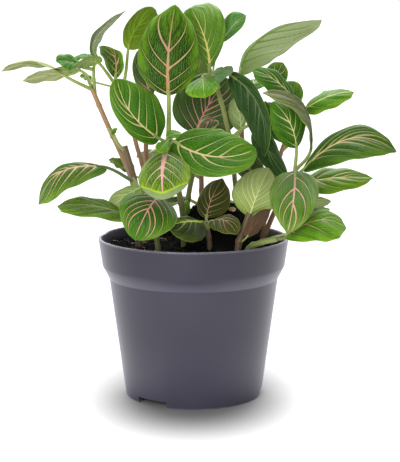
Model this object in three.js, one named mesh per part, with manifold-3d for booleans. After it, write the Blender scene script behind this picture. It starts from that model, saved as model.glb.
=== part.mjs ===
import * as THREE from "three";
import { mergeVertices } from "three/addons/utils/BufferGeometryUtils.js";
import Module from "manifold-3d";

// A tall, large-leaved nerve plant in a round plastic nursery pot. Millimetres, +Z up. The origin is the
// middle of the pot's foot, on the table, and -Y is the front.

const wasm = await Module();
wasm.setup();

// ---- Driving dimensions -----------------------------------------------------------------------------

const POT_HEIGHT = 100.6;
const RIM_RADIUS = 60;
const BAND_FOOT_RADIUS = 57.4;
const BAND_FOOT_Z = 83;
const STEP_RADIUS = 53.2;
const STEP_Z = 75;
const FOOT_RADIUS = 43.2;
const WALL = 1.8;
const INNER_KNEE_LIFT = 0.8;
const LIP = 0.5;
const FLOOR_Z = 4.2;
const FLOOR_THICK = 2;
const RING_WIDTH = 3.6;
const NOTCH_WIDTH = 22;
const NOTCH_HEIGHT = 4;
const NOTCH_DEPTH = 16;
const NOTCH_TURNS = [-37, 83, 203];
const DRAIN_RADIUS = 4.5;
const DRAIN_CIRCLE = 28;
const DRAIN_COUNT = 6;
const DRAIN_SIDES = 8;
const POT_SIDES = 40;

const SOIL_Z = 94.6;
const SOIL_LUMP = 1.2;
const SOIL_RINGS = [0.8, 0.58, 0.32, 0];
const ROOT_BALL_AT = [14, 9, 0];
const ROOT_BALL_RADIUS = 32;
const ROOT_BALL_FOOT_Z = 90;
const ROOT_BALL_HEIGHT = 24;
const ROOT_BALL_RINGS = [[32, 0], [26, 0.216], [20, 0.648], [15, 0.939], [12, 1], [0, 1]];
const FIT = 0.35;
const ROOT_Z = 72;
const ROOT_TOP_Z = 99;

const BLADE_THICK = 0.8;
const BLADE_ROWS = 6;
const SHORT_BLADE = 38;
const SHORT_ROWS = 5;
const BLADE_COLUMNS = 4;
const NARROW_BLADE = 19;
const NARROW_COLUMNS = 2;
const SMALL_ROWS = 4;
const BLADE_ARCH = 0.16;
const EDGE_WAVE = 0.5;
const HALF_WAVES = 5;
const WAVE_SHIFT = 2;
const OUTLINE_FULLNESS = 1.15;
const NARROWEST = 0.05;
const TIP_GAP = 1e-4;
const STALK_RADIUS = 1.1;
const SMALL_STALK_RADIUS = 0.7;
const STALK_STEP = 7;
const STALK_REACH = 0.06;
const STALK_SIDES = 4;
const BRANCH_RADIUS = 1.2;
const STEM_SIDES = 6;

// ---- Colours ----------------------------------------------------------------------------------------

const POT_LOOK = { color: 0x58565f, roughness: 0.55, metalness: 0 };
const SOIL_LOOK = { color: 0x1d1815, roughness: 0.95, metalness: 0 };
const LEAF_LOOK = { color: 0x3f6f2a, roughness: 0.5, metalness: 0 };
const WOODY_LOOK = { color: 0x6b4b33, roughness: 0.8, metalness: 0 };

// ---- Solids -----------------------------------------------------------------------------------------

// A closed geometry as a solid: shared corners are merged and flat triangles are dropped.
function solid(geometry) {
  const bare = geometry.clone();
  bare.deleteAttribute("normal");
  bare.deleteAttribute("uv");
  const merged = mergeVertices(bare, 1e-4);
  const triVerts = [];
  const index = merged.index.array;
  for (let i = 0; i < index.length; i += 3) {
    const [a, b, c] = [index[i], index[i + 1], index[i + 2]];
    if (a !== b && b !== c && c !== a) {
      triVerts.push(a, b, c);
    }
  }
  return new wasm.Manifold(
    new wasm.Mesh({
      numProp: 3,
      vertProperties: new Float32Array(merged.attributes.position.array),
      triVerts: new Uint32Array(triVerts),
    }),
  );
}

function geometryOf(body) {
  const mesh = body.getMesh();
  const geometry = new THREE.BufferGeometry();
  geometry.setAttribute("position", new THREE.BufferAttribute(new Float32Array(mesh.vertProperties), 3));
  geometry.setIndex(new THREE.BufferAttribute(new Uint32Array(mesh.triVerts), 1));
  geometry.computeVertexNormals();
  return geometry;
}

// A profile of [radius, height] pairs turned about the vertical axis.
function turned(profile) {
  const points = profile.map(([radius, height]) => new THREE.Vector2(radius, height));
  return new THREE.LatheGeometry(points, POT_SIDES).rotateX(Math.PI / 2);
}

// A round stem through [x, y, z] points.
function tube(path, radius, sides, steps) {
  const section = new THREE.Shape();
  for (let k = 0; k < sides; k += 1) {
    const turn = (2 * Math.PI * k) / sides;
    const [x, y] = [radius * Math.cos(turn), radius * Math.sin(turn)];
    if (k === 0) {
      section.moveTo(x, y);
    } else {
      section.lineTo(x, y);
    }
  }
  section.closePath();
  const curve = new THREE.CatmullRomCurve3(path.map((point) => new THREE.Vector3(...point)));
  return solid(new THREE.ExtrudeGeometry(section, { steps, extrudePath: curve, curveSegments: 1 }));
}

// ---- Leaf blades ------------------------------------------------------------------------------------

// Half width along the blade as a share of the half width at its middle.
function outline(along, widest) {
  const swell = (u) => (u / widest) ** widest * ((1 - u) / (1 - widest)) ** (1 - widest);
  const u = Math.min(Math.max(along, TIP_GAP), 1 - TIP_GAP);
  return Math.max((swell(u) / swell(0.5)) ** OUTLINE_FULLNESS, NARROWEST);
}

// The midrib is a parabola through the base, the middle and the tip; the blade is carried along it on the
// two arms that reach from the middle of the midrib to the left and right edges.
function midribOf(leaf) {
  const [base, mid, tip, left, right] = leaf.points.map((point) => new THREE.Vector3(...point));
  const knee = mid.clone().multiplyScalar(2).addScaledVector(base, -0.5).addScaledVector(tip, -0.5);
  const curve = new THREE.QuadraticBezierCurve3(base, knee, tip);
  const along = tip.clone().sub(base).normalize();
  const span = right.clone().sub(left);
  const across = span.addScaledVector(along, -span.dot(along)).normalize();
  const up = across.clone().cross(along);
  const arm = (edge) => {
    const reach = edge.clone().sub(mid);
    return { across: reach.dot(across), up: reach.dot(up) };
  };
  return { curve, across, left: arm(left), right: arm(right) };
}

function bladePoint(leaf, midrib, u, v, side) {
  const along = midrib.curve.getTangent(u);
  const across = midrib.across.clone().addScaledVector(along, -midrib.across.dot(along)).normalize();
  const up = across.clone().cross(along);
  const arm = v < 0 ? midrib.left : midrib.right;
  const out = Math.abs(v);
  const width = outline(u, leaf.widest);
  const half = Math.hypot(arm.across, arm.up);
  const arch = BLADE_ARCH * half * width * out * (1 - out);
  const wave = EDGE_WAVE * width * out ** 3 * Math.sin(HALF_WAVES * Math.PI * u + (v < 0 ? 0 : WAVE_SHIFT));
  return midrib.curve
    .getPoint(u)
    .addScaledVector(across, arm.across * out * width)
    .addScaledVector(up, arm.up * out * width + arch + wave + (side * BLADE_THICK) / 2);
}

// A closed blade: an upper and a lower grid, cut into triangles alike, joined round the edge.
function blade(leaf) {
  const midrib = midribOf(leaf);
  const [left, right] = leaf.points.slice(3).map((point) => new THREE.Vector3(...point));
  const narrow = left.distanceTo(right) < NARROW_BLADE;
  const columns = narrow || leaf.small ? NARROW_COLUMNS : BLADE_COLUMNS;
  const grownRows = midrib.curve.getLength() < SHORT_BLADE ? SHORT_ROWS : BLADE_ROWS;
  const rows = leaf.small ? SMALL_ROWS : grownRows;
  const positions = [];
  const index = [];
  const at = (face, row, column) => face * (rows + 1) * (columns + 1) + row * (columns + 1) + column;
  for (const side of [1, -1]) {
    for (let row = 0; row <= rows; row += 1) {
      for (let column = 0; column <= columns; column += 1) {
        const point = bladePoint(leaf, midrib, row / rows, (2 * column) / columns - 1, side);
        positions.push(point.x, point.y, point.z);
      }
    }
  }
  for (let row = 0; row < rows; row += 1) {
    for (let column = 0; column < columns; column += 1) {
      const [a, b] = [[row, column], [row, column + 1]];
      const [c, d] = [[row + 1, column + 1], [row + 1, column]];
      const halves = 2 * column < columns ? [[a, b, d], [b, c, d]] : [[a, b, c], [a, c, d]];
      for (const [p, q, r] of halves) {
        index.push(at(0, ...p), at(0, ...q), at(0, ...r));
        index.push(at(1, ...r), at(1, ...q), at(1, ...p));
      }
    }
  }
  const rim = [];
  for (let column = 0; column < columns; column += 1) {
    rim.push([0, column]);
  }
  for (let row = 0; row < rows; row += 1) {
    rim.push([row, columns]);
  }
  for (let column = columns; column > 0; column -= 1) {
    rim.push([rows, column]);
  }
  for (let row = rows; row > 0; row -= 1) {
    rim.push([row, 0]);
  }
  rim.forEach((here, k) => {
    const next = rim[(k + 1) % rim.length];
    index.push(at(0, ...here), at(1, ...here), at(1, ...next));
    index.push(at(0, ...here), at(1, ...next), at(0, ...next));
  });
  const geometry = new THREE.BufferGeometry();
  geometry.setAttribute("position", new THREE.Float32BufferAttribute(positions, 3));
  geometry.setIndex(index);
  return solid(geometry);
}

// The leaf stalk runs from the stem to the blade's base and a little way under its midrib.
function stalk(leaf) {
  const midrib = midribOf(leaf);
  const seat = midrib.curve.getPoint(0).toArray();
  const end = midrib.curve.getPoint(STALK_REACH).toArray();
  const path = leaf.from ? [leaf.from, ...(leaf.via ?? []), seat, end] : [seat, end];
  const length = new THREE.CatmullRomCurve3(path.map((point) => new THREE.Vector3(...point))).getLength();
  const steps = Math.max(1, Math.round(length / STALK_STEP));
  return tube(path, leaf.small ? SMALL_STALK_RADIUS : STALK_RADIUS, STALK_SIDES, steps);
}

// One row of a leaf: where its blade starts, the middle of its midrib, its tip, the middle of its left and
// right edge as its upper side is seen with the tip away, and how far along it is widest.
function leaf(base, mid, tip, left, right, widest, more = {}) {
  return { points: [base, mid, tip, left, right], widest, ...more };
}

// ---- The stems and their leaves ---------------------------------------------------------------------

const STEMS = [
  {
    name: "stem_front",
    root: [-6, -10],
    radius: 2,
    stems: [[[-6, -10, 98], [-7, -14, 119], [-10, -18, 136], [-14, -24, 153], [-15, -28, 165]]],
    leaves: [
      leaf([-15, -20, 190], [-15, -27, 215], [-11, -14, 245], [-34, -20, 212], [4, -20, 217], 0.38, {
        from: [-15, -28, 163],
      }),
      leaf([-20, -30, 165], [-37, -44, 182], [-45, -40, 203], [-42, -46, 173], [-21, -33, 191], 0.42, {
        from: [-15, -27, 162],
      }),
      leaf([-12, -32, 164], [12, -54, 157], [38, -50, 161], [15, -42, 172], [10, -62, 146], 0.45, {
        from: [-15, -27, 162],
      }),
      leaf([-16, -34, 159], [-18, -62, 149], [-17, -72, 134], [-1, -58, 148], [-32, -56, 146], 0.45, {
        from: [-14, -25, 157],
      }),
      leaf([-15, -36, 165], [-18, -46, 162], [-21, -50, 159], [-15, -48, 159], [-21, -42, 164], 0.45, {
        from: [-15, -28, 163],
        small: true,
      }),
      leaf([-16, -32, 166], [-12, -30, 168], [-8, -26, 169], [-14, -26, 170], [-10, -34, 166], 0.45, {
        from: [-15, -28, 163],
        small: true,
      }),
    ],
  },
  {
    name: "stem_top",
    root: [30, 14],
    radius: 1.7,
    stems: [
      [[30, 14, 98], [29, 13, 112], [26, 9, 135], [25, 6, 148], [22, 3, 165], [15, 2, 192], [11, 2, 203]],
    ],
    leaves: [
      leaf([10, 4, 205], [7, -2, 224], [-1, 8, 247], [-6, 6, 220], [21, 6, 230], 0.62, {
        from: [11, 2, 200],
      }),
      leaf([17, 18, 221], [26, 15, 233], [33, 18, 238], [23, 18, 240], [29, 18, 229], 0.5, {
        from: [12, 3, 199],
        via: [[13, 12, 209]],
        small: true,
      }),
      leaf([12, -4, 202], [18, -11, 204], [24, -8, 208], [19, -16, 200], [15, -6, 206], 0.5, {
        from: [11, 2, 202],
        small: true,
      }),
      leaf([6, -2, 201], [6, -16, 196], [7, -22, 189], [16, -12, 197], [-5, -10, 194], 0.4, {
        from: [11, 2, 201],
      }),
      leaf([22, 2, 202], [40, -12, 183], [44, -4, 151], [44, -18, 185], [29, -4, 180], 0.42, {
        from: [12, 2, 199],
      }),
      leaf([41, 2, 172], [46, -4, 156], [60, 1, 135], [53, 2, 156], [39, -2, 152], 0.45, {
        from: [23, 4, 162],
        via: [[34, 4, 170]],
      }),
    ],
  },
  {
    name: "stem_middle",
    root: [-4, 5],
    radius: 1.8,
    stems: [[[-4, 5, 98], [-4, 5, 119], [0, 7, 141], [5, 9, 156], [8, 10, 165]]],
    leaves: [
      leaf([8, 12, 166], [5, 20, 179], [10, 31, 200], [-14, 17, 173], [27, 16, 180], 0.38, {
        from: [7, 9, 162],
      }),
      leaf([15, -2, 173], [9, -12, 174], [3, -20, 168], [7, -18, 168], [11, -6, 178], 0.5, {
        from: [8, 9, 163],
        via: [[14, 5, 170]],
        small: true,
      }),
      leaf([30, 10, 166], [29, 12, 177], [28, 16, 188], [33, 10, 178], [22, 10, 176], 0.5, {
        from: [3, 8, 150],
        via: [[16, 13, 154]],
        small: true,
      }),
      leaf([-5, -4, 114], [-5, -5, 119], [-4, -1, 124], [-8, -4, 120], [-2, -4, 119], 0.5, {
        from: [-4, 5, 115.5],
        small: true,
      }),
    ],
  },
  {
    name: "stem_far_left",
    root: [-33, 3],
    radius: 1.5,
    stems: [
      [[-33, 3, 98], [-39, 3, 136], [-47, 3, 156], [-52, 2, 167], [-58, 2, 181], [-63, 2, 193]],
      [[-61, 2, 188], [-62, 3, 203], [-61, 2, 212]],
    ],
    leaves: [
      leaf([-81, 0, 202], [-99, 6, 209], [-121, 14, 203], [-97, -4, 210], [-100, 14, 206], 0.45, {
        from: [-62, 2, 192],
      }),
      leaf([-71, 10, 204], [-88, 4, 202], [-106, 0, 198], [-87, -4, 206], [-91, 12, 197], 0.5, {
        from: [-63, 3, 194],
      }),
      leaf([-71, 5, 207], [-78, 4, 210], [-85, 0, 210], [-78, -2, 207], [-77, 10, 213], 0.5, {
        from: [-62, 2, 205],
      }),
      leaf([-63, 5, 212], [-69, 12, 213], [-77, 16, 211], [-68, 6, 211], [-70, 18, 214], 0.5, {
        from: [-62, 2, 208],
        small: true,
      }),
      leaf([-60, 2, 213], [-60, 6, 225], [-42, 12, 241], [-54, 0, 228], [-65, 0, 222], 0.38, {
        from: [-61, 2, 209],
      }),
    ],
  },
  {
    name: "stem_left_back",
    root: [-28, 15],
    radius: 1.6,
    stems: [[[-28, 15, 98], [-28, 15, 112], [-32, 14, 142], [-36, 14, 156], [-41, 13, 176], [-48, 12, 194]]],
    leaves: [
      leaf([-41, 14, 217], [-36, 20, 231], [-24, 24, 243], [-26, 24, 225], [-45, 18, 232], 0.5, {
        from: [-46, 12, 188],
        via: [[-43, 13, 200]],
      }),
      leaf([-58, -4, 209], [-65, -10, 211], [-73, -15, 208], [-64, -18, 214], [-65, -2, 206], 0.45, {
        from: [-47, 12, 192],
      }),
      leaf([-49, 10, 199], [-49, 6, 213], [-56, -3, 221], [-43, 2, 215], [-57, 14, 211], 0.5, {
        from: [-48, 12, 193],
      }),
      leaf([-65, 19, 197], [-68, 19, 199], [-72, 18, 200], [-69, 16, 198], [-66, 22, 201], 0.5, {
        from: [-48, 12, 193],
        small: true,
      }),
    ],
  },
  {
    name: "stem_upper_right",
    root: [44, 10],
    radius: 1.6,
    stems: [[[44, 10, 98], [46, 10, 116], [50, 10, 132], [55, 9, 152], [61, 5, 170], [64, 3, 181]]],
    leaves: [
      leaf([49, 8, 192], [52, 10, 201], [56, 12, 209], [45, 12, 204], [59, 10, 200], 0.5, {
        from: [62, 4, 176],
        via: [[54, 7, 184]],
      }),
      leaf([64, 12, 182], [62, 14, 190], [59, 16, 197], [56, 14, 188], [69, 14, 191], 0.5, {
        from: [64, 3, 178],
        small: true,
      }),
      leaf([63, 0, 186], [50, -7, 199], [36, -6, 205], [45, -14, 193], [53, 0, 203], 0.45, {
        from: [64, 3, 178],
      }),
      leaf([60, 10, 159], [49, 9, 171], [45, 13, 185], [43, 12, 171], [57, 15, 175], 0.42, {
        from: [56, 9, 154],
      }),
      leaf([69, 3, 180], [84, -2, 188], [100, 4, 191], [85, 10, 191], [83, -10, 179], 0.42, {
        from: [63, 3, 177],
      }),
    ],
  },
  {
    name: "stem_right",
    root: [43, -3],
    radius: 1.8,
    stems: [[[43, -3, 98], [46, -5, 106], [51, -10, 119], [59, -16, 135], [63, -18, 146]]],
    leaves: [
      leaf([63, -18, 158], [58, -27, 175], [48, -20, 187], [48, -22, 170], [68, -20, 177], 0.45, {
        from: [62, -18, 143],
      }),
      leaf([72, -10, 155], [66, -24, 183], [41, -34, 193], [61, -34, 182], [69, -14, 182], 0.5, {
        from: [63, -18, 145],
      }),
      leaf([67, -14, 144], [95, -26, 165], [123, -28, 157], [97, -16, 172], [95, -38, 153], 0.5, {
        from: [62, -17, 141],
      }),
      leaf([69, -4, 135], [90, -8, 139], [112, -4, 138], [92, 2, 144], [88, -17, 131], 0.36, {
        from: [59, -16, 134],
      }),
      leaf([62, -22, 145], [59, -54, 130], [55, -62, 112], [73, -50, 132], [46, -50, 129], 0.3, {
        from: [61, -17, 140],
      }),
      leaf([68, 12, 117], [77, 8, 121], [87, 6, 122], [78, 12, 116], [78, 4, 125], 0.5, {
        from: [50, -8, 116],
        via: [[60, 3, 118]],
        small: true,
      }),
    ],
  },
  {
    name: "stem_low_right",
    root: [27, -34],
    radius: 2.2,
    stems: [[[27, -34, 98], [28, -34, 104], [31, -33, 112], [34, -32, 120]]],
    leaves: [
      leaf([34, -29, 122], [38, -34, 135], [47, -23, 149], [48, -27, 127], [22, -30, 133], 0.42, {
        from: [33, -32, 117],
      }),
      leaf([32, -37, 106], [38, -35, 114], [47, -30, 122], [42, -33, 112], [35, -36, 118], 0.5, {
        from: [28, -34, 102],
        small: true,
      }),
      leaf([42, -24, 138], [33, -22, 147], [26, -16, 155], [27, -20, 143], [41, -18, 151], 0.5, {
        from: [32, -32, 115],
        via: [[40, -24, 124]],
      }),
    ],
  },
  {
    name: "stem_low_front_right",
    root: [33, -35],
    radius: 1.4,
    stems: [[[33, -35, 98], [40, -39, 103], [50, -42, 106]]],
    leaves: [
      leaf([55, -43, 107], [74, -52, 119], [91, -50, 114], [83, -42, 125], [72, -64, 108], 0.58, {
        from: [46, -42, 104],
      }),
      leaf([60, -24, 108], [71, -23, 117], [84, -20, 121], [70, -15, 119], [73, -29, 115], 0.5, {
        from: [38, -38, 102],
        via: [[48, -31, 105]],
        small: true,
      }),
    ],
  },
  {
    name: "stem_low_centre",
    root: [10, -20],
    radius: 1.8,
    stems: [[[10, -20, 98], [9, -20, 106], [8, -20, 113]]],
    leaves: [
      leaf([8, -18, 115], [11, -13, 126], [18, -4, 138], [4, -8, 129], [24, -10, 126], 0.5, {
        from: [8, -20, 110],
      }),
      leaf([10, -22, 113], [19, -34, 116], [26, -44, 109], [22, -27, 119], [15, -40, 110], 0.5, {
        from: [9, -20, 109],
      }),
      leaf([6, -24, 113], [-4, -44, 117], [-16, -52, 115], [-3, -54, 112], [-2, -34, 119], 0.5, {
        from: [9, -20, 108],
      }),
    ],
  },
  {
    name: "stem_low_left",
    root: [-22, -22],
    radius: 1.8,
    stems: [[[-22, -22, 98], [-25, -21, 112], [-31, -17, 128], [-38, -12, 139]]],
    leaves: [
      leaf([-53, -16, 146], [-80, -28, 145], [-95, -22, 124], [-74, -38, 136], [-84, -18, 146], 0.5, {
        from: [-37, -13, 137],
      }),
      leaf([-36, -30, 117], [-60, -40, 126], [-82, -36, 125], [-59, -50, 120], [-64, -30, 130], 0.5, {
        from: [-26, -21, 114],
      }),
      leaf([-31, -22, 135], [-41, -30, 131], [-52, -30, 126], [-43, -28, 135], [-38, -32, 125], 0.52, {
        from: [-31, -17, 128],
      }),
      leaf([-20, -44, 132], [-26, -70, 128], [-34, -74, 111], [-10, -70, 120], [-42, -64, 133], 0.46, {
        from: [-25, -21, 113],
        via: [[-23, -34, 127]],
      }),
    ],
  },
  {
    name: "stem_pruned",
    root: [-34, -6],
    radius: 2.4,
    look: WOODY_LOOK,
    stems: [
      [[-34, -6, 98], [-34, -5, 118], [-36, -4, 132], [-43, -3, 158]],
      [[-42, -3, 154], [-47, -6, 160], [-50, -7, 166], [-53, -8, 169]],
    ],
    leaves: [
      leaf([-50, -7, 165], [-49, -10, 168], [-48, -12, 170], [-51, -11, 168], [-47, -9, 169], 0.5, {
        small: true,
      }),
    ],
  },
  {
    name: "stem_back_left",
    root: [-24, 36],
    radius: 1.8,
    stems: [[[-24, 36, 98], [-28, 35, 130], [-31, 34, 152], [-27, 26, 185]]],
    leaves: [
      leaf([-27, 23, 188], [-32, 29, 202], [-33, 37, 218], [-39, 27, 202], [-24, 27, 205], 0.45, {
        from: [-27, 26, 183],
      }),
      leaf([-42, 25, 138], [-48, 27, 143], [-55, 28, 146], [-50, 23, 142], [-46, 31, 146], 0.45, {
        from: [-28, 35, 130],
        small: true,
      }),
      leaf([-30, 32, 176], [-38, 48, 182], [-41, 66, 172], [-50, 48, 178], [-26, 46, 179], 0.45, {
        from: [-28, 29, 174],
      }),
      leaf([-27, 38, 150], [-27, 54, 149], [-29, 70, 138], [-38, 52, 145], [-16, 52, 146], 0.45, {
        from: [-31, 34, 148],
      }),
      leaf([-26, 30, 192], [-27, 46, 206], [-27, 58, 219], [-37, 46, 204], [-16, 46, 205], 0.45, {
        from: [-27, 26, 184],
      }),
    ],
  },
  {
    name: "stem_back_centre",
    root: [4, 36],
    radius: 1.8,
    stems: [[[4, 36, 98], [5, 39, 118], [4, 42, 150], [2, 44, 178]]],
    leaves: [
      leaf([1, 45, 184], [-2, 53, 205], [-4, 52, 227], [10, 50, 205], [-13, 50, 205], 0.45, {
        from: [2, 44, 176],
      }),
      leaf([4, 49, 176], [8, 66, 178], [11, 75, 162], [-5, 64, 174], [21, 64, 173], 0.42, {
        from: [3, 44, 172],
      }),
      leaf([-3, 44, 136], [-13, 60, 137], [-22, 71, 126], [-21, 51, 134], [-6, 69, 134], 0.45, {
        from: [5, 41, 132],
      }),
      leaf([9, 46, 173], [22, 56, 181], [36, 62, 173], [16, 65, 179], [28, 46, 179], 0.45, {
        from: [3, 43, 168],
      }),
      leaf([8, 43, 117], [18, 60, 116], [22, 75, 106], [7, 66, 111], [30, 56, 113], 0.45, {
        from: [5, 38, 112],
      }),
      leaf([-3, 42, 118], [-16, 60, 117], [-22, 75, 107], [-27, 54, 113], [-4, 66, 113], 0.45, {
        from: [5, 39, 114],
      }),
    ],
  },
  {
    name: "stem_back_right",
    root: [34, 32],
    radius: 1.8,
    stems: [[[34, 32, 98], [34, 31, 120], [31, 28, 160], [29, 21, 197]]],
    leaves: [
      leaf([29, 18, 200], [45, 26, 224], [81, 24, 235], [57, 14, 215], [40, 34, 223], 0.42, {
        from: [29, 22, 193],
      }),
      leaf([34, 34, 176], [49, 48, 181], [62, 60, 168], [38, 58, 178], [59, 38, 178], 0.45, {
        from: [30, 26, 170],
      }),
      leaf([35, 38, 150], [41, 54, 151], [43, 70, 139], [31, 56, 147], [51, 50, 147], 0.45, {
        from: [32, 29, 144],
      }),
      leaf([33, 28, 190], [45, 40, 197], [57, 50, 191], [37, 48, 195], [53, 32, 195], 0.45, {
        from: [29, 23, 185],
      }),
      leaf([42, 36, 122], [58, 46, 124], [72, 54, 114], [52, 57, 121], [65, 36, 121], 0.45, {
        from: [34, 31, 116],
      }),
    ],
  },
];

function leafyStem(plan) {
  const [x, y] = plan.root;
  let body = tube([[x, y, ROOT_Z], [x, y, ROOT_TOP_Z]], plan.radius, STEM_SIDES, 1);
  plan.stems.forEach((path, k) => {
    body = body.add(tube(path, k === 0 ? plan.radius : BRANCH_RADIUS, STEM_SIDES, path.length + 1));
  });
  for (const one of plan.leaves) {
    body = body.add(stalk(one)).add(blade(one));
  }
  return body;
}

// ---- Pot --------------------------------------------------------------------------------------------

// The outside of the pot's wall, from the foot up, and the same line a wall's thickness in.
const OUTSIDE = [
  [FOOT_RADIUS, 0],
  [STEP_RADIUS, STEP_Z],
  [BAND_FOOT_RADIUS, BAND_FOOT_Z],
  [RIM_RADIUS, POT_HEIGHT - LIP],
];
const innerFootRadius = FOOT_RADIUS + (FLOOR_Z * (STEP_RADIUS - FOOT_RADIUS)) / STEP_Z - WALL;
const INSIDE = [
  [innerFootRadius, FLOOR_Z + FLOOR_THICK],
  [STEP_RADIUS - WALL, STEP_Z + INNER_KNEE_LIFT],
  [BAND_FOOT_RADIUS - WALL, BAND_FOOT_Z + INNER_KNEE_LIFT],
  [RIM_RADIUS - WALL, POT_HEIGHT - LIP],
];

function pot() {
  const profile = [
    [0, FLOOR_Z],
    [FOOT_RADIUS - RING_WIDTH, FLOOR_Z],
    [FOOT_RADIUS - RING_WIDTH, 0],
    ...OUTSIDE,
    [RIM_RADIUS - LIP, POT_HEIGHT],
    [RIM_RADIUS - WALL + LIP, POT_HEIGHT],
    ...[...INSIDE].reverse(),
    [0, FLOOR_Z + FLOOR_THICK],
  ];
  let body = solid(turned(profile));
  for (const turn of NOTCH_TURNS) {
    const notch = new THREE.BoxGeometry(NOTCH_WIDTH, NOTCH_DEPTH, 2 * NOTCH_HEIGHT);
    notch.translate(0, -FOOT_RADIUS, 0).rotateZ(THREE.MathUtils.degToRad(turn));
    body = body.subtract(solid(notch));
  }
  for (let k = 0; k < DRAIN_COUNT; k += 1) {
    const hole = new THREE.CylinderGeometry(DRAIN_RADIUS, DRAIN_RADIUS, 4 * FLOOR_THICK, DRAIN_SIDES);
    hole.rotateX(Math.PI / 2).translate(DRAIN_CIRCLE, 0, FLOOR_Z);
    hole.rotateZ((2 * Math.PI * (k + 0.5)) / DRAIN_COUNT);
    body = body.subtract(solid(hole));
  }
  return body;
}

// ---- Soil -------------------------------------------------------------------------------------------

// The soil's top is lumpy, and lies flat against the wall all round.
function soilHeight(x, y) {
  const lump = Math.sin(0.21 * x + 1.3) * Math.cos(0.17 * y) + 0.6 * Math.sin(0.43 * y + 0.35 * x);
  const calm = 1 - (Math.hypot(x, y) / RIM_RADIUS) ** 4;
  return SOIL_Z + SOIL_LUMP * lump * calm;
}

// The plant's own root ball stands up out of the soil round it.
function rootBall() {
  const profile = [
    [0, ROOT_BALL_FOOT_Z],
    [ROOT_BALL_RADIUS, ROOT_BALL_FOOT_Z],
  ];
  for (const [radius, share] of ROOT_BALL_RINGS) {
    profile.push([radius, SOIL_Z + share * ROOT_BALL_HEIGHT]);
  }
  return solid(turned(profile)).translate(ROOT_BALL_AT);
}

function soil() {
  const topRadius = BAND_FOOT_RADIUS + ((SOIL_Z - BAND_FOOT_Z) / (POT_HEIGHT - BAND_FOOT_Z))
    * (RIM_RADIUS - BAND_FOOT_RADIUS) - WALL - FIT;
  const profile = [
    [0, INSIDE[0][1] + FIT],
    [INSIDE[0][0] - FIT, INSIDE[0][1] + FIT],
    [INSIDE[1][0] - FIT, INSIDE[1][1]],
    [INSIDE[2][0] - FIT, INSIDE[2][1]],
    [topRadius, SOIL_Z],
  ];
  for (const share of SOIL_RINGS) {
    profile.push([topRadius * share, SOIL_Z]);
  }
  const shape = turned(profile);
  const place = shape.attributes.position;
  for (let i = 0; i < place.count; i += 1) {
    const [x, y, z] = [place.getX(i), place.getY(i), place.getZ(i)];
    if (z > SOIL_Z - 0.01) {
      place.setZ(i, soilHeight(x, y));
    }
  }
  let body = solid(shape).add(rootBall());
  for (const plan of STEMS) {
    const [x, y] = plan.root;
    const path = plan.stems[0];
    const hole = tube([[x, y, ROOT_Z - FIT], [x, y, POT_HEIGHT]], plan.radius + FIT, STEM_SIDES, 1);
    const above = tube(path, plan.radius + FIT, STEM_SIDES, path.length + 1);
    body = body.subtract(hole).subtract(above);
  }
  return body;
}

// ---- The whole object -------------------------------------------------------------------------------

const plant = new THREE.Group();

function place(name, body, look) {
  const mesh = new THREE.Mesh(geometryOf(body), new THREE.MeshStandardMaterial(look));
  mesh.name = name;
  plant.add(mesh);
}

place("pot", pot(), POT_LOOK);
place("soil", soil(), SOIL_LOOK);
for (const plan of STEMS) {
  place(plan.name, leafyStem(plan), plan.look ?? LEAF_LOOK);
}

export default plant;
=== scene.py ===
# %% [markdown]
# # A tall nerve plant in a nursery pot
# This is a nerve plant with large leaves, grown in a dark plastic nursery pot. The plain solids of the pot,
# the soil and each leafy stem are already there as a fixed frame. Every cell below makes one real thing
# finer, in the same place: the blades get ribs, veins and quilting, the stems get joints and hairs, and the
# soil gets crumbs.

# %% Load the frame
import math
import random
from collections import namedtuple

import bmesh
import bpy
from mathutils import Matrix, Vector


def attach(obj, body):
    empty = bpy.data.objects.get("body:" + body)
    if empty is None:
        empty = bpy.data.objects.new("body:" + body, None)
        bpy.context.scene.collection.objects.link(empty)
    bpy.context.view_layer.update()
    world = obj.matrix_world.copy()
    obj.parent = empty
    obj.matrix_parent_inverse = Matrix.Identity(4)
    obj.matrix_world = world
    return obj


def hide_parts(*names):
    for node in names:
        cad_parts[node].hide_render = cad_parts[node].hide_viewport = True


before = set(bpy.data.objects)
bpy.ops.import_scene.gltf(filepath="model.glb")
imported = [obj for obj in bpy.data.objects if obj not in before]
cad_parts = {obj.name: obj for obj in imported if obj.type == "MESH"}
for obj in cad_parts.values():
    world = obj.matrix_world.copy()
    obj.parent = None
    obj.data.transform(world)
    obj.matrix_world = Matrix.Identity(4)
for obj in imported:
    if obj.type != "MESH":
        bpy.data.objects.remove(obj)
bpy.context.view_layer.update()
MM = 0.001

# %% [markdown]
# ## The camera
# The photograph looks slightly down at the plant through a long lens, from a little under a metre away. The
# camera stands at that spot. Its sensor is 36 mm along the picture's long side.

# %% Camera
CAMERA_DISTANCE = 898 * MM
CAMERA_HEIGHT = 251 * MM
CAMERA_ASIDE = 4 * MM
LOOKS_DOWN = math.radians(9.3)
SENSOR = 36.0
LENS = 112.6
NEAREST_SEEN = 10 * MM


def placed(name, data):
    """A new object in the scene, made of a mesh, a curve, a camera or a light."""
    thing = bpy.data.objects.new(name, data)
    bpy.context.scene.collection.objects.link(thing)
    return thing


camera_data = bpy.data.cameras.new("camera")
camera_data.sensor_width = SENSOR
camera_data.lens = LENS
camera_data.clip_start = NEAREST_SEEN
camera = placed("camera", camera_data)
camera.location = (CAMERA_ASIDE, -CAMERA_DISTANCE, CAMERA_HEIGHT)
camera.rotation_euler = (math.pi / 2 - LOOKS_DOWN, 0, 0)
bpy.context.scene.camera = camera
print("camera lens", LENS, "mm")

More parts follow.
